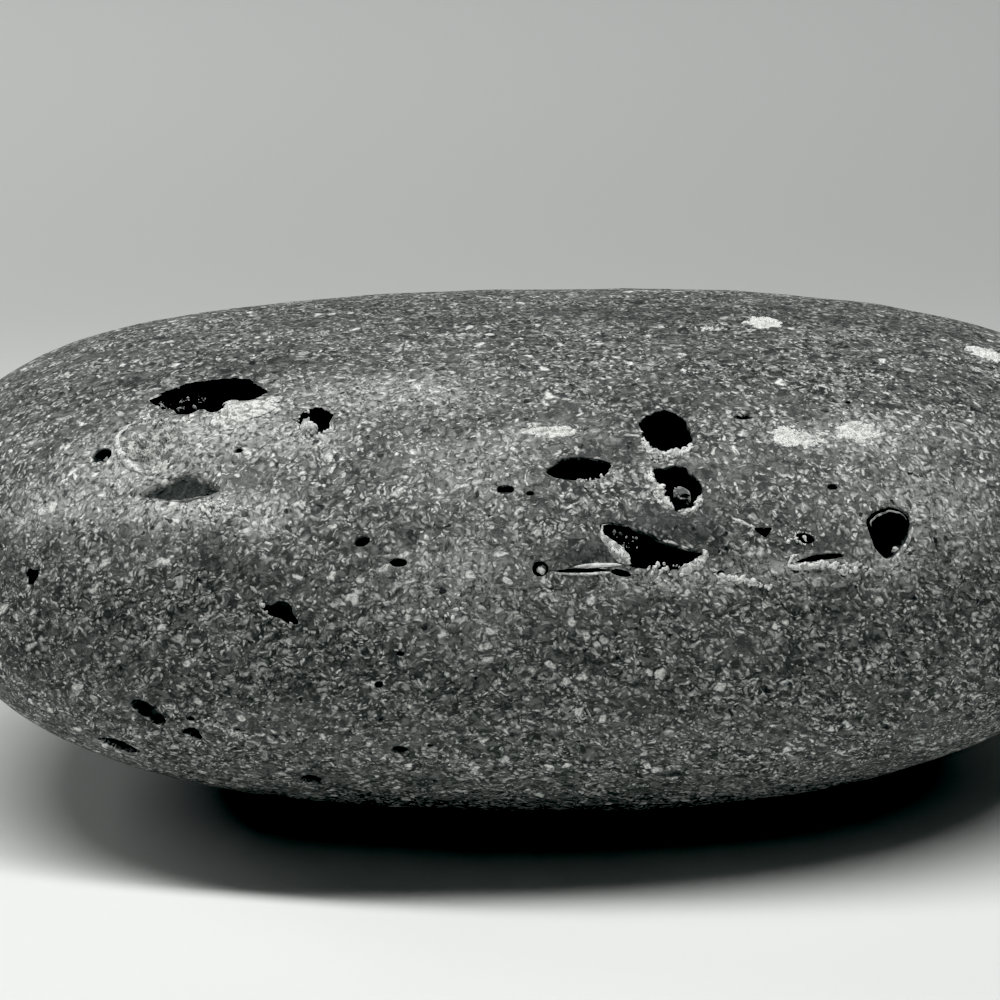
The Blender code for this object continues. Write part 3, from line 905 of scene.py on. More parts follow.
@dataclass(frozen=True)
class Crust:
    """A granular sheet on the skin or on a hollow's floor.

    Its top stands crown * (1 - r^3) + edge * r^3 over its seat, where r is the share of the way to its
    edge, plus the crystals' relief, and its edge turns under into the rock.
    """

    node: str
    name: str
    long_mm: float
    wide_mm: float
    spin: float = 0.0
    outline: Outline = Outline.OVAL
    crown_mm: float = 0.05
    edge_mm: float = -0.04
    sunk_mm: float = 0.0
    root_mm: float = 0.35
    crystal_mm: float = 0.28
    relief_mm: float = 0.09
    ragged: float = 0.35
    rings: int = 46
    around: int = 110
    seed: int = 1
    bubble: str = ""
    spread: float = 1.06
    fine: float = 0.45

    def build(self, form: Pebble) -> bpy.types.Object:
        """Sheet over its node's middle.

        Args:
            form: the pebble that the sheet lies on.

        Returns:
            The piece.
        """
        if self.bubble:
            edge = BUBBLES[self.bubble]
            spot = form.spot(edge.lat, edge.turn, edge.spin)
        else:
            size = (self.long_mm, self.wide_mm, 1)
            edge = Vesicle(0, 0, *size, outline=self.outline, ragged=self.ragged, seed=self.seed)
            spot = form.beneath(node_middle(self.node), self.spin)
        mid_x, mid_y = edge.middle
        angle = np.linspace(0, 2 * np.pi, self.around, endpoint=False)
        x, y = edge.mouth(angle)
        x, y = (x - mid_x) * self.spread, (y - mid_y) * self.spread
        share = np.linspace(0.02, 1, self.rings)
        top_x, top_y = x[None, :] * share[:, None] + mid_x, y[None, :] * share[:, None] + mid_y
        flat = np.stack([top_x, top_y, np.full_like(top_x, 2.0 * self.seed)], axis=-1)
        bumps = facets(flat.reshape(-1, 3), self.crystal_mm, self.seed).reshape(top_x.shape)
        small_mm = self.crystal_mm * self.fine
        fine = facets(flat.reshape(-1, 3), small_mm, self.seed + 50).reshape(top_x.shape)
        square = (share**3)[:, None]
        height = self.crown_mm * (1 - square) + self.edge_mm * square
        height = height + self.relief_mm * (bumps + self.fine * fine) * (1 - 0.6 * square)
        under = np.array([0.96, 0.7, 0.35])
        low_x, low_y = x[None, :] * under[:, None] + mid_x, y[None, :] * under[:, None] + mid_y
        rings = spot.wrap(
            np.concatenate([top_x, low_x]),
            np.concatenate([top_y, low_y]),
            np.concatenate([self.sunk_mm - height, np.full_like(low_x, self.sunk_mm + self.root_mm)]),
        )
        x, y = np.array([mid_x]), np.array([mid_y])
        first = spot.wrap(x, y, np.array([self.sunk_mm - height[0].mean()]))[0]
        last = spot.wrap(x, y, np.array([self.sunk_mm + self.root_mm]))[0]
        return outward_faces(closed_grid(self.name, rings, first, last))


@dataclass(frozen=True)
class CrumbTrail:
    """Small grains set in the rock over an oval or along a ring's arc, each an uneven turned ball.

    A ring above zero puts the grains near that share of the oval's edge, between two angles.
    """

    name: str
    slot: str
    lat: float
    turn: float
    long_mm: float
    wide_mm: float
    count: int
    grain_mm: float = 0.22
    spin: float = 0.0
    ring: float = 0.0
    start: float = 0.0
    end: float = 360.0
    seed: int = 1
    rings: int = 3
    sides: int = 6

    def build(self, form: Pebble) -> bpy.types.Object:
        """Grains scattered over an oval, or along a ring's arc.

        Args:
            form: the pebble that the grains lie in.

        Returns:
            One piece that holds every grain.
        """
        rng = np.random.default_rng(self.seed)
        spot = form.spot(self.lat, self.turn, self.spin)
        angle = np.radians(rng.uniform(self.start, self.end, self.count))
        if self.ring:
            reach = self.ring * rng.uniform(0.92, 1.16, self.count)
        else:
            reach = np.sqrt(rng.uniform(0, 1, self.count))
        x, y = self.long_mm / 2 * reach * np.cos(angle), self.wide_mm / 2 * reach * np.sin(angle)
        size = self.grain_mm * rng.lognormal(0, 0.35, self.count) / 2
        middles = spot.wrap(x, y, 0.25 * size)
        a = np.linspace(0, np.pi, self.rings + 2)[1:-1, None]
        t = np.linspace(0, 2 * np.pi, self.sides, endpoint=False)[None, :]
        ball = np.stack([np.sin(a) * np.cos(t), np.sin(a) * np.sin(t), np.cos(a) + 0 * t], axis=-1)
        ball = np.concatenate([ball.reshape(-1, 3), [[0, 0, 1]], [[0, 0, -1]]])
        knobs = ball[None] * rng.uniform(0.75, 1.2, (self.count, len(ball), 1))
        turns = np.linalg.qr(rng.normal(size=(self.count, 3, 3)))[0]
        turns = turns * np.linalg.det(turns)[:, None, None]
        slim = rng.uniform([1.0, 0.55, 0.45], [1.7, 0.9, 0.8], (self.count, 3))
        shapes = np.einsum("nij,nkj->nki", turns, knobs * slim[:, None, :]) * size[:, None, None] * MM
        points = (middles[:, None, :] + shapes).reshape(-1, 3)
        quads, caps = capped_faces(self.rings, self.sides)
        shift = np.arange(self.count)[:, None, None] * len(ball)
        return mesh_object(self.name, points, (quads + shift).reshape(-1, 4), (caps + shift).reshape(-1, 3))


# ---------------------------------------------------------------- finishes

Colour = tuple[float, float, float]


class Recipe:
    """Node tree of one material, with short ways to add and join its nodes."""

    def __init__(self, name: str) -> None:
        """Start a material with only its shader and its output."""
        self.material = bpy.data.materials.new(name)
        self.material.use_nodes = True
        self.tree = self.material.node_tree
        self.tree.nodes.clear()
        self.shader = self.add("ShaderNodeBsdfPrincipled")
        output = self.add("ShaderNodeOutputMaterial")
        self.tree.links.new(self.shader.outputs["BSDF"], output.inputs["Surface"])

    def add(self, kind: str, **settings: object) -> bpy.types.Node:
        """Add a node and set its own settings."""
        node = self.tree.nodes.new(kind)
        for name, value in settings.items():
            setattr(node, name, value)
        return node

    def feed(self, socket: bpy.types.NodeSocket, value: object) -> None:
        """Join an output to a socket, or set the socket to a number or colour."""
        if isinstance(value, bpy.types.NodeSocket):
            self.tree.links.new(value, socket)
        elif isinstance(value, tuple) and socket.type == "RGBA":
            socket.default_value = (*value, 1.0)
        else:
            socket.default_value = value

    def millimetres(self) -> bpy.types.NodeSocket:
        """The object's own coordinates, in millimetres."""
        place = self.add("ShaderNodeTexCoord")
        scale = self.add("ShaderNodeVectorMath", operation="SCALE")
        self.feed(scale.inputs["Vector"], place.outputs["Object"])
        scale.inputs["Scale"].default_value = 1 / MM
        return scale.outputs["Vector"]

    def math(self, operation: str, *values: object) -> bpy.types.NodeSocket:
        """A sum, product or other step on numbers."""
        node = self.add("ShaderNodeMath", operation=operation)
        for socket, value in zip(node.inputs, values):
            self.feed(socket, value)
        return node.outputs[0]

    def times(self, first: object, *others: object) -> bpy.types.NodeSocket:
        """The product of numbers."""
        for other in others:
            first = self.math("MULTIPLY", first, other)
        return first

    def parts(self, kind: str, value: object) -> list[bpy.types.NodeSocket]:
        """The three numbers of a colour, for the kind "Color", or of a place, for "XYZ"."""
        node = self.add(f"ShaderNodeSeparate{kind}")
        self.feed(node.inputs[0], value)
        return list(node.outputs)

    def vector(self, operation: str, *values: object) -> bpy.types.NodeSocket:
        """A sum, product or other step on vectors."""
        node = self.add("ShaderNodeVectorMath", operation=operation)
        for socket, value in zip(node.inputs, values):
            self.feed(socket, value)
        return node.outputs["Vector"]

    def step(self, value: object, low: object, high: object, out: tuple = (0.0, 1.0)) -> bpy.types.NodeSocket:
        """A smooth step of a number from low to high, given out between two numbers."""
        node = self.add("ShaderNodeMapRange", interpolation_type="SMOOTHSTEP")
        names = ("Value", "From Min", "From Max", "To Min", "To Max")
        for name, number in zip(names, (value, low, high, *out)):
            self.feed(node.inputs[name], number)
        return node.outputs["Result"]

    def blend(self, share: object, first: object, second: object) -> bpy.types.NodeSocket:
        """A mix of two colours, which a mix node has on its inputs 6 and 7 and its output 2."""
        node = self.add("ShaderNodeMix", data_type="RGBA")
        for key, value in (("Factor", share), (6, first), (7, second)):
            self.feed(node.inputs[key], value)
        return node.outputs[2]

    def cloud(self, place: object, per_mm: float, detail: float, rough: float) -> bpy.types.Node:
        """Noise node with so many features to a millimetre."""
        node = self.add("ShaderNodeTexNoise", noise_dimensions="3D")
        for name, value in (("Vector", place), ("Scale", per_mm), ("Detail", detail), ("Roughness", rough)):
            self.feed(node.inputs[name], value)
        return node

    def noise(
        self, place: object, per_mm: float, detail: float = 2.0, rough: float = 0.5
    ) -> bpy.types.NodeSocket:
        """Cloudy noise, near 0.5."""
        return self.cloud(place, per_mm, detail, rough).outputs["Fac"]

    def sway(self, place: object, per_mm: float, reach: float) -> bpy.types.NodeSocket:
        """A cloudy shake in every direction, up to half of reach each way."""
        colour = self.cloud(place, per_mm, 2.0, 0.5).outputs["Color"]
        centred = self.vector("SUBTRACT", colour, (0.5, 0.5, 0.5))
        return self.vector("MULTIPLY", centred, (reach, reach, reach))

    def cells(self, place: object, per_mm: float) -> tuple[bpy.types.NodeSocket, bpy.types.NodeSocket]:
        """Distance to the nearest cell's middle, and that cell's random colour."""
        node = self.add("ShaderNodeTexVoronoi", feature="F1")
        self.feed(node.inputs["Vector"], place)
        node.inputs["Scale"].default_value = per_mm
        return node.outputs["Distance"], node.outputs["Color"]

    def turned(self, place: object, degrees: Colour, scale: Colour, shift: Colour) -> bpy.types.NodeSocket:
        """Coordinates turned, then stretched."""
        node = self.add("ShaderNodeMapping", vector_type="POINT")
        turn = self.add("ShaderNodeVectorRotate", rotation_type="EULER_XYZ")
        self.feed(turn.inputs["Vector"], place)
        turn.inputs["Rotation"].default_value = tuple(np.radians(degrees))
        self.feed(node.inputs["Vector"], turn.outputs["Vector"])
        node.inputs["Scale"].default_value = scale
        node.inputs["Location"].default_value = shift
        return node.outputs["Vector"]

    def attribute(self, name: str) -> bpy.types.NodeSocket:
        """A number kept with the surface's points."""
        return self.add("ShaderNodeAttribute", attribute_name=name).outputs["Fac"]

    def bump(self, height: object, depth_mm: float) -> None:
        """Bump the surface by a height of so many millimetres."""
        node = self.add("ShaderNodeBump")
        node.inputs["Strength"].default_value = 1.0
        node.inputs["Distance"].default_value = depth_mm * MM
        self.feed(node.inputs["Height"], height)
        self.feed(self.shader.inputs["Normal"], node.outputs["Normal"])

    def finish(self, colour: object, rough: object, sheen: float = 0.4) -> bpy.types.Material:
        """Join the colour and the roughness, and set how strong the gloss is."""
        self.feed(self.shader.inputs["Base Color"], colour)
        self.feed(self.shader.inputs["Roughness"], rough)
        self.shader.inputs["Specular IOR Level"].default_value = sheen
        return self.material


@dataclass(frozen=True)
class BasaltFinish:
    """Dark groundmass full of pale feldspar laths, which lie along the old lava's flow."""

    groundmass: Colour = (0.026, 0.029, 0.027)
    grey: Colour = (0.165, 0.172, 0.163)
    pale: Colour = (0.92, 0.94, 0.90)
    # hollow_shade is near-black painted shade, for the bubbles' deep walls and the small pits.
    hollow_shade: Colour = (0.012, 0.013, 0.013)
    bump_mm: float = 0.06
    flow_bend: float = 0.006
    flow_squeeze: float = 0.55
    shakes: tuple[tuple[float, float], ...] = ((0.8, 1.1), (3.0, 0.34))

    def flow(self, make: Recipe) -> bpy.types.NodeSocket:
        """Millimetre coordinates along the flow: x, squeeze * y and z + bend * x^2, shaken by noise."""
        place = make.millimetres()
        x, y, z = make.parts("XYZ", place)
        bent = make.math("ADD", z, make.times(x, x, self.flow_bend))
        joined = make.add("ShaderNodeCombineXYZ")
        for socket, value in zip(joined.inputs, (x, make.times(y, self.flow_squeeze), bent)):
            make.feed(socket, value)
        whole = joined.outputs[0]
        for per_mm, reach in self.shakes:
            whole = make.vector("ADD", whole, make.sway(place, per_mm, reach))
        return whole

    def laths(self, make: Recipe, place: object) -> tuple[bpy.types.NodeSocket, bpy.types.NodeSocket]:
        """Pale laths as sets of stretched cells, some of them lit.

        Args:
            make: the material being made.
            place: flow coordinates.

        Returns:
            How bright the laths are, and how dark the seams round them are.
        """
        # Each set's turn in degrees, cells to a millimetre, shift, and the chance its cells have to pass.
        sets = (
            ((0, 14, 20), (0.95, 2.8, 2.4), (0.0, 0.0, 0.0), 0.74),
            ((20, -28, -30), (1.5, 3.6, 3.6), (7.3, 1.1, 4.2), 0.60),
            ((-30, 62, 50), (1.9, 4.2, 4.2), (3.9, 8.8, 2.4), 0.60),
            ((15, 8, -20), (2.8, 5.6, 5.6), (5.1, 2.7, 6.6), 0.54),
        )
        crowd = make.noise(make.vector("MULTIPLY", place, (0.5, 1.0, 1.0)), 0.55, 4.0, 0.7)
        lift = make.times(make.math("SUBTRACT", crowd, 0.5), 1.5)
        lift = make.math("MULTIPLY_ADD", make.attribute("dust"), 0.28, lift)
        total, seams = 0.0, 0.0
        for degrees, scale, shift, limit in sets:
            apart, tint = make.cells(make.turned(place, degrees, scale, shift), 1.0)
            chance, tone, _ = make.parts("Color", tint)
            lit = make.step(make.math("ADD", chance, lift), limit, limit + 0.25)
            body = make.step(apart, 0.18, 0.60, (1.0, 0.0))
            tone = make.math("MULTIPLY_ADD", make.math("POWER", tone, 1.2), 0.85, 0.15)
            total = make.math("MAXIMUM", total, make.times(lit, body, tone))
            seams = make.math("MAXIMUM", seams, make.times(lit, make.step(apart, 0.45, 0.65)))
        return total, seams

    def spots(self, make: Recipe, place: object, per_mm: float, share: float) -> bpy.types.NodeSocket:
        """Round spots in a share of the cells, each 0.22 of its cell's size to its edge."""
        apart, tint = make.cells(place, per_mm)
        there = make.step(make.parts("Color", tint)[1], 1 - share, 1.04 - share)
        return make.times(there, make.step(apart, 0.22 * 0.6, 0.22, (1.0, 0.0)))

    def ground(
        self, make: Recipe, fine: object, broad: object, seams: object, polish: object
    ) -> bpy.types.NodeSocket:
        """Dark and grey groundmass, darkest in the laths' seams and where it is polished."""
        polished = tuple(1.3 * part for part in self.groundmass)
        colour = make.blend(make.step(fine, 0.40, 0.64), self.groundmass, self.grey)
        colour = make.blend(make.times(seams, 0.70), colour, self.groundmass)
        colour = make.blend(make.step(broad, 0.40, 0.75, (0.0, 0.3)), colour, self.grey)
        return make.blend(make.times(polish, 0.65), colour, polished)

    def inside(self, make: Recipe, place: object) -> bpy.types.NodeSocket:
        """Walls of the bubbles, in painted shade: a little lighter in patches near the skin, and darker with
        depth to black deep down.
        """
        # Painted shade: the walls darken from 0.4 to 1.7 mm deep, and lighter patches near the skin stand for
        # light reaching in.
        wall = make.step(make.noise(place, 2.4, 4.0, 0.7), 0.45, 0.75)
        shallow = make.step(make.attribute("depth"), 0.4, 1.7, (1.0, 0.10))
        lit = tuple(5.0 * part for part in self.groundmass)
        return make.blend(make.times(make.math("MULTIPLY_ADD", wall, 0.7, 0.3), shallow), self.hollow_shade, lit)

    def dress(self) -> bpy.types.Material:
        """Basalt's material: groundmass, then its light laths and specks, dust, and pits and bubbles in
        painted shade.
        """
        make = Recipe("worn_basalt")
        place = self.flow(make)
        fine = make.noise(make.vector("MULTIPLY", place, (0.6, 1.0, 1.0)), 2.3, 4.0, 0.68)
        broad = make.noise(make.vector("MULTIPLY", place, (0.5, 1.0, 1.0)), 0.30, 3.0, 0.6)
        laths, seams = self.laths(make, place)
        speck = self.spots(make, place, 0.62, 0.38)
        pit = self.spots(make, place, 1.15, 0.36)
        polish = make.attribute("polish")
        mottle = make.step(make.noise(place, 5.0, 3.0, 0.65), 0.30, 0.58, (0.25, 1.0))
        light = make.math("MAXIMUM", laths, make.times(speck, 0.95))
        light = make.times(light, mottle, make.math("MULTIPLY_ADD", polish, -0.80, 1.0))
        colour = make.blend(light, self.ground(make, fine, broad, seams, polish), self.pale)
        grainy = make.step(make.noise(place, 3.6, 4.0, 0.7), 0.40, 0.60)
        colour = make.blend(make.times(make.attribute("dust"), grainy, 0.50), colour, self.pale)
        # Painted shade: the small pits are coloured near-black, besides being bumped in.
        colour = make.blend(make.times(pit, 0.85), colour, self.hollow_shade)
        # Painted shade: inside the bubbles the colour turns to the darkening walls.
        colour = make.blend(make.attribute("hollow_shade"), colour, self.inside(make, place))
        height = make.math("ADD", fine, make.times(light, 0.6))
        height = make.math("SUBTRACT", height, pit)
        height = make.math("ADD", height, make.times(broad, 0.8))
        make.bump(height, self.bump_mm)
        rough = make.step(make.math("ADD", fine, polish), 0.3, 1.3, (0.74, 0.55))
        return make.finish(colour, rough, 0.35)


@dataclass(frozen=True)
class CrystalFinish:
    """A pale mineral of small crystals: bright faces, grey ones, and painted shade as dark gaps and specks
    between them.
    """

    name: str
    bright: Colour
    dull: Colour
    # Colour of the painted shade between crystals.
    gap: Colour
    crystal_mm: float
    dull_share: float
    gap_share: float
    rough: float
    bump_mm: float = 0.04

    def dress(self) -> bpy.types.Material:
        """The mineral's material."""
        make = Recipe(self.name)
        place = make.millimetres()
        place = make.vector("ADD", place, make.sway(place, 2.5, 0.5))
        apart, tint = make.cells(place, 1 / self.crystal_mm)
        chance, stand, _ = make.parts("Color", tint)
        chance = make.math("ADD", chance, make.times(make.noise(place, 1.3, 3.0, 0.6), 0.8))
        limit = 0.4 + self.dull_share
        colour = make.blend(make.step(chance, limit - 0.30, limit + 0.30), self.dull, self.bright)
        fine = make.noise(place, 2.2 / self.crystal_mm, 3.0, 0.7)
        # Painted shade: dark specks and dark crystal edges take the gap colour.
        gaps = make.step(fine, 0.30 + 0.3 * self.gap_share, 0.22 + 0.3 * self.gap_share)
        rim = make.step(apart, 0.55, 0.85, (0.0, 0.8 * self.gap_share))
        colour = make.blend(make.math("MAXIMUM", gaps, rim), colour, self.gap)
        make.bump(make.math("SUBTRACT", make.math("ADD", fine, stand), apart), self.bump_mm)
        rough = make.math("MULTIPLY_ADD", fine, 0.25, self.rough - 0.12)
        return make.finish(colour, rough, 0.45)


class Finish(Enum):
    """The stone's mineral finishes, each named after its slot, but for the one in OWN_FINISH.

    Each gives its bright and dull colours and its gap colour, which is painted shade between the
    crystals, then its crystal size, the shares of dull crystals and of gap shade, and its roughness.
    """

    WHITE_CRUST = CrystalFinish(
        "white_crust", (0.86, 0.87, 0.84), (0.34, 0.35, 0.33), (0.04, 0.04, 0.04), 0.26, 0.35, 0.45, 0.75
    )
    CLEAR_CRYSTAL = CrystalFinish(
        "clear_crystal", (0.84, 0.85, 0.83), (0.42, 0.43, 0.41), (0.08, 0.08, 0.08), 0.34, 0.30, 0.25, 0.42
    )
    GREY_NODULE = CrystalFinish(
        "grey_nodule", (0.36, 0.37, 0.35), (0.12, 0.12, 0.12), (0.02, 0.02, 0.02), 0.30, 0.45, 0.35, 0.60
    )
    CHALKY_FILLING = CrystalFinish(
        "chalky_filling", (0.86, 0.87, 0.84), (0.46, 0.47, 0.45), (0.08, 0.08, 0.08), 0.24, 0.20, 0.22, 0.85
    )
    SUGARY_CRUST = CrystalFinish(
        "sugary_crust", (0.68, 0.69, 0.66), (0.23, 0.24, 0.23), (0.03, 0.03, 0.03), 0.40, 0.52, 0.50, 0.70,
        bump_mm=0.06,
    )


# ---------------------------------------------------------------- the minerals' places

# The pieces that stand for a node of the frame.
MINERALS: tuple[Grain | RimBand | Crust, ...] = (
    Crust(
        "crust_basin", "basin_sheet", 4.3, 5.6, 0, Outline.OVAL, -0.50, 0.06, 0.0, 0.95, 0.55, 0.20,
        rings=64, around=170, seed=2, bubble="basin",
    ),
    RimBand(
        "cave_slope", "cave", 284, 344, 2.8, 0.5, -1.25, 0.06, 0.5, 0.40, 0.7, 0.10, 0.25,
        seed=3, node="crust_tongue",
    ),
    Grain(
        "nugget", "white_nugget", 1.10, 1.3, 1.1, 0, 0.36, 0.42,
        lift_mm=0.70, slide_mm=(0.25, 0.1), seed=4,
    ),
    Grain("lens_nodule", "grey_lens_grain", 1.3, 0.9, 0.6, 0, 0.45, 0.30, lift_mm=0.15, seed=5),
    RimBand(
        "black_rim_crumbs", "black_round", 205, 318, 0.55, 0.4, -0.05, 0.05, 0.4, 0.5, 0.24, 0.4,
        seed=6, node="crumb_row",
    ),
    RimBand(
        "twin_rim_crust", "twin", 132, 262, 0.80, 0.5, -0.12, 0.03, 0.5, 0.5, 0.34, 0.24, 0.20,
        seed=7, node="rim_crust",
    ),
    Grain(
        "twin_nodule", "twin_grey_grain", 1.1, 1.1, 0.9, 20, 0.42, 0.32,
        lift_mm=1.0, slide_mm=(0.12, 1.5), seed=8,
    ),
    RimBand(
        "boat_pale_wedge", "boat", 150, 222, 0.80, 0.35, 0.10, 0.05, 1.0, 0.62, 0.5, 0.10, 0.12,
        seed=9, node="pale_wedge",
    ),
    RimBand(
        "boat_ledge", "boat", 318, 352, 0.75, 0.35, -0.15, 0.0, 0.6, 0.4, 0.3, 0.2,
        seed=10, node="ledge_deposit",
    ),
    Grain(
        "blade_crystal", "slot_blade", 3.7, 0.28, 0.36, 2, 0.6, 0.08,
        point=1.3, bend_mm=0.06, lift_mm=0.28, slide_mm=(0.1, 0.30), seed=11,
    ),
    Grain("slot_nodule", "slot_round_grain", 0.62, 0.6, 0.5, 0, 0.25, 0.14, seed=12),
    Grain("oval_crystal", "oval_small_crystal", 0.50, 0.45, 0.4, 30, 0.3, 0.25, slide_mm=(0.1, 0.1), seed=13),
    RimBand(
        "slit_pale_lip", "slit", 182, 348, 0.62, 0.35, -0.30, 0.0, 0.6, 0.4, 0.24, 0.22,
        seed=14, node="slit_lip",
    ),
    Grain("thin_blade", "pit_thin_blade", 1.8, 0.26, 0.4, -25, 0.4, 0.15, 1.1, slide_mm=(-0.1, 0.0), seed=15),
    Crust("streak_filling", "chalk_streak", 3.1, 1.3, 0, Outline.LENS, 0.16, -0.03, ragged=0.50, seed=21),
    Crust("patch_filling", "chalk_patch", 2.7, 2.4, -15, Outline.OVAL, 0.10, -0.05, seed=22),
    Crust("chain_filling", "chalk_chain", 3.6, 1.7, -12, Outline.LENS, 0.08, -0.06, seed=23),
    Crust("crown_filling", "crown_chalk", 2.4, 3.4, 0, Outline.OVAL, 0.09, -0.03, seed=24),
    Crust("end_filling", "end_chalk", 2.8, 3.2, 0, Outline.OVAL, 0.09, -0.03, seed=25),
)

# Bands that stand for no node of the frame.
EXTRA_BANDS: tuple[RimBand, ...] = (
    RimBand("slot_low_lip", "slot", 200, 335, 0.14, 0.14, -0.10, 0.0, 0.5, 0.5, 0.2, 0.2, seed=51),
    RimBand("twin_low_crust", "twin", 268, 345, 0.38, 0.35, -0.05, 0.0, 0.5, 0.4, 0.3, 0.45, seed=52),
    RimBand(
        "oval_rim_band", "oval", 28, 165, 0.13, 0.10, 0.22, 0.12, 0.4, 0.5, 0.3, 0.10,
        seed=53, slot="grey_nodule",
    ),
    RimBand("oval_side_rim", "oval", 285, 375, 0.22, 0.18, -0.10, 0.0, 0.5, 0.5, 0.25, 0.2, seed=54),
    RimBand("basin_crescent", "basin", 118, 314, 0.55, 0.35, 0.06, -0.05, 0.5, 0.6, 0.35, 0.2, seed=55),
    RimBand("boat_lobe_rim", "boat", -2, 22, 0.16, 0.16, -0.03, 0.0, 0.4, 0.5, 0.2, 0.2, seed=56),
    RimBand(
        "lens_low_rim", "lens", 190, 345, 0.16, 0.2, -0.05, 0.05, 0.4, 0.5, 0.3, 0.2,
        seed=57, slot="grey_nodule",
    ),
)

CRUMBS: tuple[CrumbTrail, ...] = (
    CrumbTrail("cave_crumbs", "white_crust", -27.5, 58, 6.0, 3.0, 90, 0.26, 6, 1.0, 150, 320, seed=31),
    CrumbTrail("cave_edge_grains", "grey_nodule", -29.0, 60, 4.4, 2.6, 44, 0.18, 6, seed=45),
    CrumbTrail(
        "small_round_crumbs", "clear_crystal", -17.2, 52, 2.1, 3.1, 24, 0.24, 0, 1.06, 120, 330, seed=32
    ),
    CrumbTrail("small_round_dust", "white_crust", -17.8, 48.5, 1.6, 1.6, 34, 0.22, seed=33),
    CrumbTrail("black_round_crumbs", "white_crust", 9, 47.3, 2.9, 4.5, 30, 0.20, 0, 1.04, 170, 330, seed=34),
    CrumbTrail("bridge_crumbs", "grey_nodule", 8.8, 41.8, 2.4, 0.8, 40, 0.22, 0, seed=46),
    CrumbTrail("left_lens_crumbs", "white_crust", 2.5, 40, 3.7, 1.9, 18, 0.18, 0, 1.05, 250, 345, seed=36),
    CrumbTrail("chain_crumbs", "chalky_filling", 19.3, 47.5, 4.2, 1.7, 34, 0.24, -12, seed=37),
    CrumbTrail("streak_crumbs", "chalky_filling", 0.4, 48.3, 3.0, 1.5, 30, 0.24, seed=38),
    CrumbTrail("patch_crumbs", "chalky_filling", 24, 48.5, 4.4, 3.0, 40, 0.22, -15, seed=39),
    CrumbTrail("boat_crumbs", "white_crust", 9.5, 15.5, 4.2, 1.6, 50, 0.22, 0, seed=40),
    CrumbTrail("boat_floor_grains", "grey_nodule", 6.0, 24.6, 2.0, 0.9, 16, 0.16, -35, seed=47),
    CrumbTrail("wedge_crumbs", "white_crust", 18.2, 24.5, 1.2, 0.7, 12, 0.20, 0, seed=42),
    CrumbTrail("ring_crumbs", "white_crust", 19.7, 23.9, 1.25, 0.62, 30, 0.13, -16, 1.1, seed=48),
    CrumbTrail("ring_core", "clear_crystal", 19.6, 24.0, 0.30, 0.15, 5, 0.32, -30, seed=58),
    CrumbTrail("low_left_streak", "white_crust", -25.4, -22.6, 3.2, 0.5, 60, 0.26, -28, seed=57),
    CrumbTrail(
        "three_corner_crumbs", "white_crust", -21.5, 6.5, 2.0, 1.1, 16, 0.18, -25, 1.1, 180, 330, seed=43
    ),
    CrumbTrail("lens_dust", "chalky_filling", -25.0, 33.0, 4.4, 1.2, 70, 0.20, 0, seed=44),
    CrumbTrail("low_streak_crumbs", "chalky_filling", 15.4, 13.8, 3.8, 0.30, 70, 0.24, -14, seed=50),
    CrumbTrail("slit_tail_crumbs", "white_crust", 23.5, 16.0, 3.4, 0.6, 46, 0.28, -10, seed=51),
    CrumbTrail("upper_right_crumbs", "chalky_filling", 22.2, 39.0, 1.6, 1.2, 16, 0.22, 0, seed=52),
    CrumbTrail("mid_left_crumbs", "chalky_filling", -8.5, 10.0, 3.0, 2.2, 22, 0.24, 0, seed=53),
    CrumbTrail("crown_line_crumbs", "chalky_filling", 15.3, 86.0, 1.8, 1.2, 24, 0.22, 0, seed=54),
    CrumbTrail("crown_low_crumbs", "chalky_filling", 12.5, 65.0, 2.0, 1.0, 22, 0.22, 0, seed=55),
    CrumbTrail("left_pit_lip", "white_crust", -34.5, 47, 1.1, 1.3, 12, 0.18, 0, 1.15, 200, 330, seed=49),
)

# The nodes that each slot dresses, and the pieces whose finish is not named after their slot.
SLOT_NODES: dict[str, tuple[str, ...]] = {
    "white_crust": ("crust_basin", "crust_tongue", "rim_crust", "pale_wedge", "ledge_deposit", "slit_lip"),
    "clear_crystal": ("nugget", "crumb_row", "blade_crystal", "slot_nodule", "oval_crystal", "thin_blade"),
    "grey_nodule": ("lens_nodule", "twin_nodule"),
    "chalky_filling": ("streak_filling", "patch_filling", "chain_filling", "crown_filling", "end_filling"),
}
OWN_FINISH: dict[str, str] = {"basin_sheet": "sugary_crust"}


# ---------------------------------------------------------------- the studio


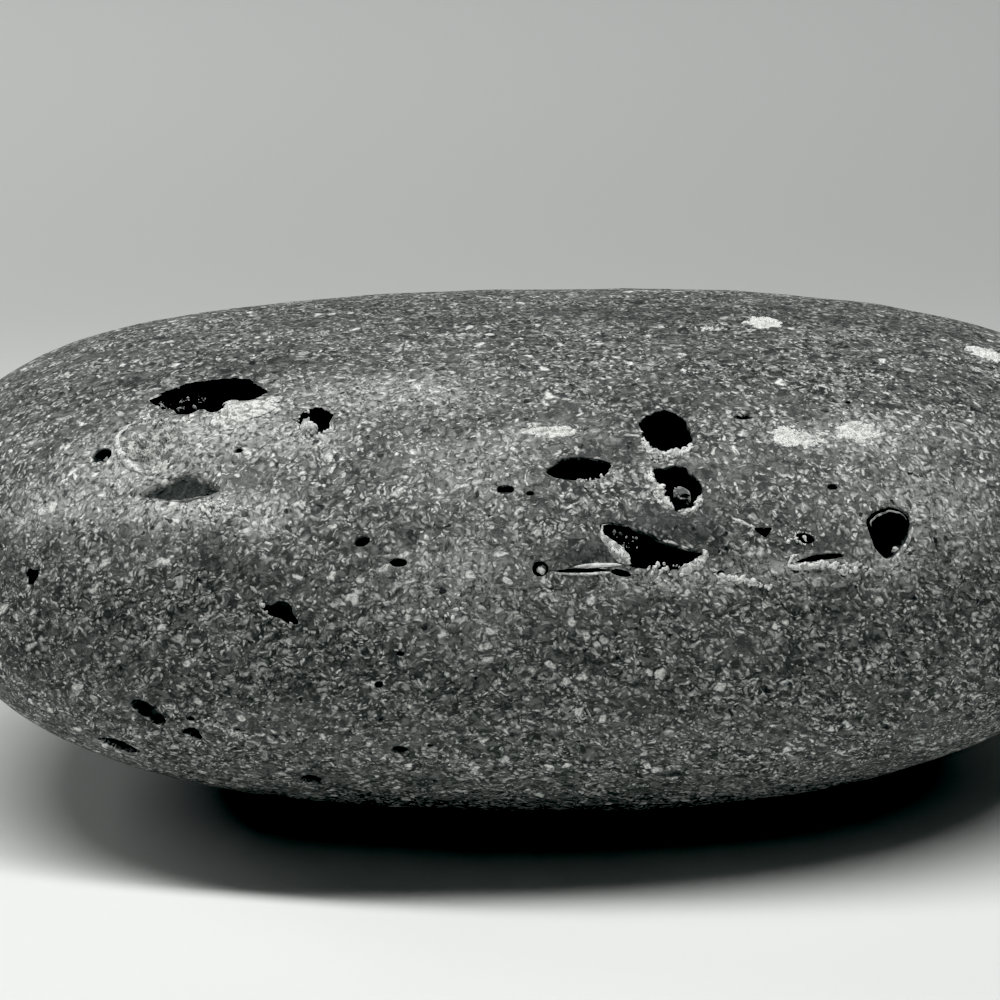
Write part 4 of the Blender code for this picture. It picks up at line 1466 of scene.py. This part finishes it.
@dataclass(frozen=True)
class Studio:
    """Pale paper that curves gently up behind the stone, two soft lamps and the camera."""

    form: Pebble
    bend_start: float = 0.105
    bend_radius: float = 0.60
    wall_top: float = 1.2
    front: float = -0.75
    half_width: float = 1.3
    distance: float = 0.200
    elevation: float = 15.0
    roll: float = -0.936
    lens: float = 103.68
    sensor_mm: float = 36.0
    aim_along: float = -2.77 * MM
    aim_above: float = 0.42 * MM
    softbox_lean: float = 12.0
    softbox_height: float = 0.45
    fill_strength: float = 0.024

    def sweep(self) -> bpy.types.Object:
        """Floor that bends up into a wall: a profile of flat, quarter round and upright, carried along X."""
        bend = np.linspace(0, np.pi / 2, 40)
        flat = np.linspace(self.front, self.bend_start, 12)[:-1]
        rise = np.linspace(self.bend_radius, self.wall_top, 8)[1:]
        y = np.concatenate([flat, self.bend_start + self.bend_radius * np.sin(bend), 0 * rise + self.back])
        z = np.concatenate([0 * flat, self.bend_radius * (1 - np.cos(bend)), rise])
        x = np.linspace(-self.half_width, self.half_width, 9)
        points = np.stack(np.broadcast_arrays(x[None, :], y[:, None], z[:, None]), axis=-1)
        rows, cols = points.shape[:2]
        row, col = np.meshgrid(np.arange(rows - 1), np.arange(cols - 1), indexing="ij")
        here = row * cols + col
        quads = np.stack([here, here + 1, here + cols + 1, here + cols], axis=-1).reshape(-1, 4)
        paper = mesh_object("paper_sweep", points.reshape(-1, 3), quads)
        paper.data.shade_smooth()
        return paper

    @property
    def back(self) -> float:
        """How far behind the stone the wall stands."""
        return self.bend_start + self.bend_radius

    def paper(self) -> bpy.types.Material:
        """Matt paper with a faint tooth, and painted shade that greys it behind the stone and eases a little
        up the curve.
        """
        make = Recipe("matt_paper")
        place = make.millimetres()
        cloud = make.noise(place, 0.02, 2.0, 0.5)
        floor = make.blend(make.step(cloud, 0.3, 0.7), (0.805, 0.820, 0.805), (0.825, 0.840, 0.825))
        back = make.parts("XYZ", place)[1]
        # Painted shade: greyer from 45 to 160 mm behind the stone's middle, a little lighter again from 160
        # to 300 mm.
        colour = make.blend(make.step(back, 45.0, 160.0), floor, (0.555, 0.565, 0.555))
        colour = make.blend(make.step(back, 160.0, 300.0), colour, (0.68, 0.69, 0.68))
        make.bump(make.noise(place, 1.5, 3.0, 0.6), 0.01)
        rough = make.math("MULTIPLY_ADD", cloud, 0.1, 0.85)
        return make.finish(colour, rough, 0.1)

    def lamp(
        self, name: str, watts: float, sizes: tuple[float, float], place: Array, aim: Array, turn: float = 0.0
    ) -> None:
        """Add a rectangular soft lamp.

        Args:
            name: the lamp's name.
            watts: its power.
            sizes: its width and height in metres.
            place: where it hangs.
            aim: the place it faces.
            turn: degrees that its width is turned from level.
        """
        light = bpy.data.lights.new(name, "AREA")
        light.shape, light.size, light.size_y, light.energy = "RECTANGLE", *sizes, watts
        about = Matrix.Rotation(np.radians(turn), 4, "Z")
        linked(name, light).matrix_world = self.facing(Vector(place), Vector(aim)) @ about

    def facing(self, place: Vector, aim: Vector) -> Matrix:
        """Placement whose -Z axis looks from a place at an aim, with X level."""
        back = (place - aim).normalized()
        right = Vector((0, 1, 0)).cross(back) if abs(back.z) > 0.95 else Vector((0, 0, 1)).cross(back)
        right.normalize()
        up = back.cross(right)
        return Matrix.Translation(place) @ Matrix((right, up, back)).transposed().to_4x4()

    def light(self) -> None:
        """Hang the lamps and set the faint fill and the plain view transform."""
        aim = self.form.centre
        lean = np.radians(self.softbox_lean)
        above = aim + self.softbox_height * np.array([0.0, -np.sin(lean), np.cos(lean)])
        self.lamp(
            "overhead_softbox",
            watts=2.60,
            sizes=(0.60, 0.05),
            place=above + np.array([-0.02, 0.0, 0.0]),
            aim=aim,
            turn=-14.0,
        )
        self.lamp(
            "left_window",
            watts=0.26,
            sizes=(0.15, 0.15),
            place=np.array([-0.32, 0.14, 0.20]),
            aim=np.array([-0.11, 0.17, 0.0]),
        )
        world = bpy.data.worlds.new("dim_room")
        world.use_nodes = True
        fill = world.node_tree.nodes["Background"].inputs
        fill["Color"].default_value = (0.98, 1.0, 0.99, 1.0)
        fill["Strength"].default_value = self.fill_strength
        bpy.context.scene.world = world
        view = bpy.context.scene.view_settings
        view.view_transform = "Standard"
        view.use_curve_mapping = True
        view.curve_mapping.black_level = (0.020, 0.019, 0.018)
        view.curve_mapping.update()

    def camera(self) -> None:
        """Stand the camera a little above the stone, close in front of it."""
        target = Vector((self.aim_along, 0.0, self.form.foot_depth + self.aim_above))
        tip = np.radians(self.elevation)
        back = Vector((0.0, -np.cos(tip), np.sin(tip)))
        right, up = Vector((1.0, 0.0, 0.0)), Vector((0.0, np.sin(tip), np.cos(tip)))
        c, s = np.cos(np.radians(self.roll)), np.sin(np.radians(self.roll))
        turned_right, turned_up = right * c + up * s, up * c - right * s
        lens = bpy.data.cameras.new("camera")
        lens.lens, lens.sensor_width = self.lens, self.sensor_mm
        lens.clip_start, lens.clip_end = 0.01, 10.0
        item = linked("camera", lens)
        axes = Matrix((turned_right, turned_up, back)).transposed().to_4x4()
        item.matrix_world = Matrix.Translation(target + back * self.distance) @ axes
        bpy.context.scene.camera = item


# ---------------------------------------------------------------- the whole stone


@dataclass
class MassageStone:
    """The basalt stone: its worn pebble, its minerals and its loose crumbs."""

    form: Pebble
    finishes: dict[str, bpy.types.Material] = field(default_factory=dict)

    def mix_finishes(self) -> None:
        """Make every material once."""
        self.finishes["basalt"] = BasaltFinish().dress()
        for finish in Finish:
            self.finishes[finish.value.name] = finish.value.dress()

    def settle(self, piece: bpy.types.Object, slot: str, node: str | None = None) -> None:
        """Dress a piece and tie it to the frame.

        Args:
            piece: the piece to settle.
            slot: the record's slot that it takes its finish from.
            node: the node of the frame that it stands for, if any.
        """
        piece.data.materials.clear()
        piece.data.materials.append(self.finishes[OWN_FINISH.get(piece.name, slot)])
        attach(piece, "root")
        if node:
            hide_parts(node)
        LOG.info("%s: %d faces", piece.name, len(piece.data.polygons))

    def build(self) -> None:
        """Build and settle every piece."""
        self.mix_finishes()
        self.settle(BasaltPebble(self.form).build(), "basalt", "basalt_body")
        slots = {node: slot for slot, nodes in SLOT_NODES.items() for node in nodes}
        for mineral in MINERALS:
            self.settle(mineral.build(self.form), slots[mineral.node], mineral.node)
        for band in EXTRA_BANDS:
            self.settle(band.build(self.form), band.slot)
        for crumbs in CRUMBS:
            self.settle(crumbs.build(self.form), crumbs.slot)


def box_lists(box: tuple) -> list[list[float]]:
    """A box's two corners as plain lists of numbers."""
    return [[float(part) for part in corner] for corner in box]


def main() -> None:
    """Build the stone in its studio."""
    logging.basicConfig(level=logging.INFO, format="%(message)s")
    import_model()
    packed = box_lists(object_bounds())
    form = Pebble(*(np.array(corner) for corner in packed))
    studio = Studio(form)
    studio.camera()
    MassageStone(form).build()
    sweep = studio.sweep()
    sweep.data.materials.append(studio.paper())
    studio.light()


if __name__ == "__main__":
    main()
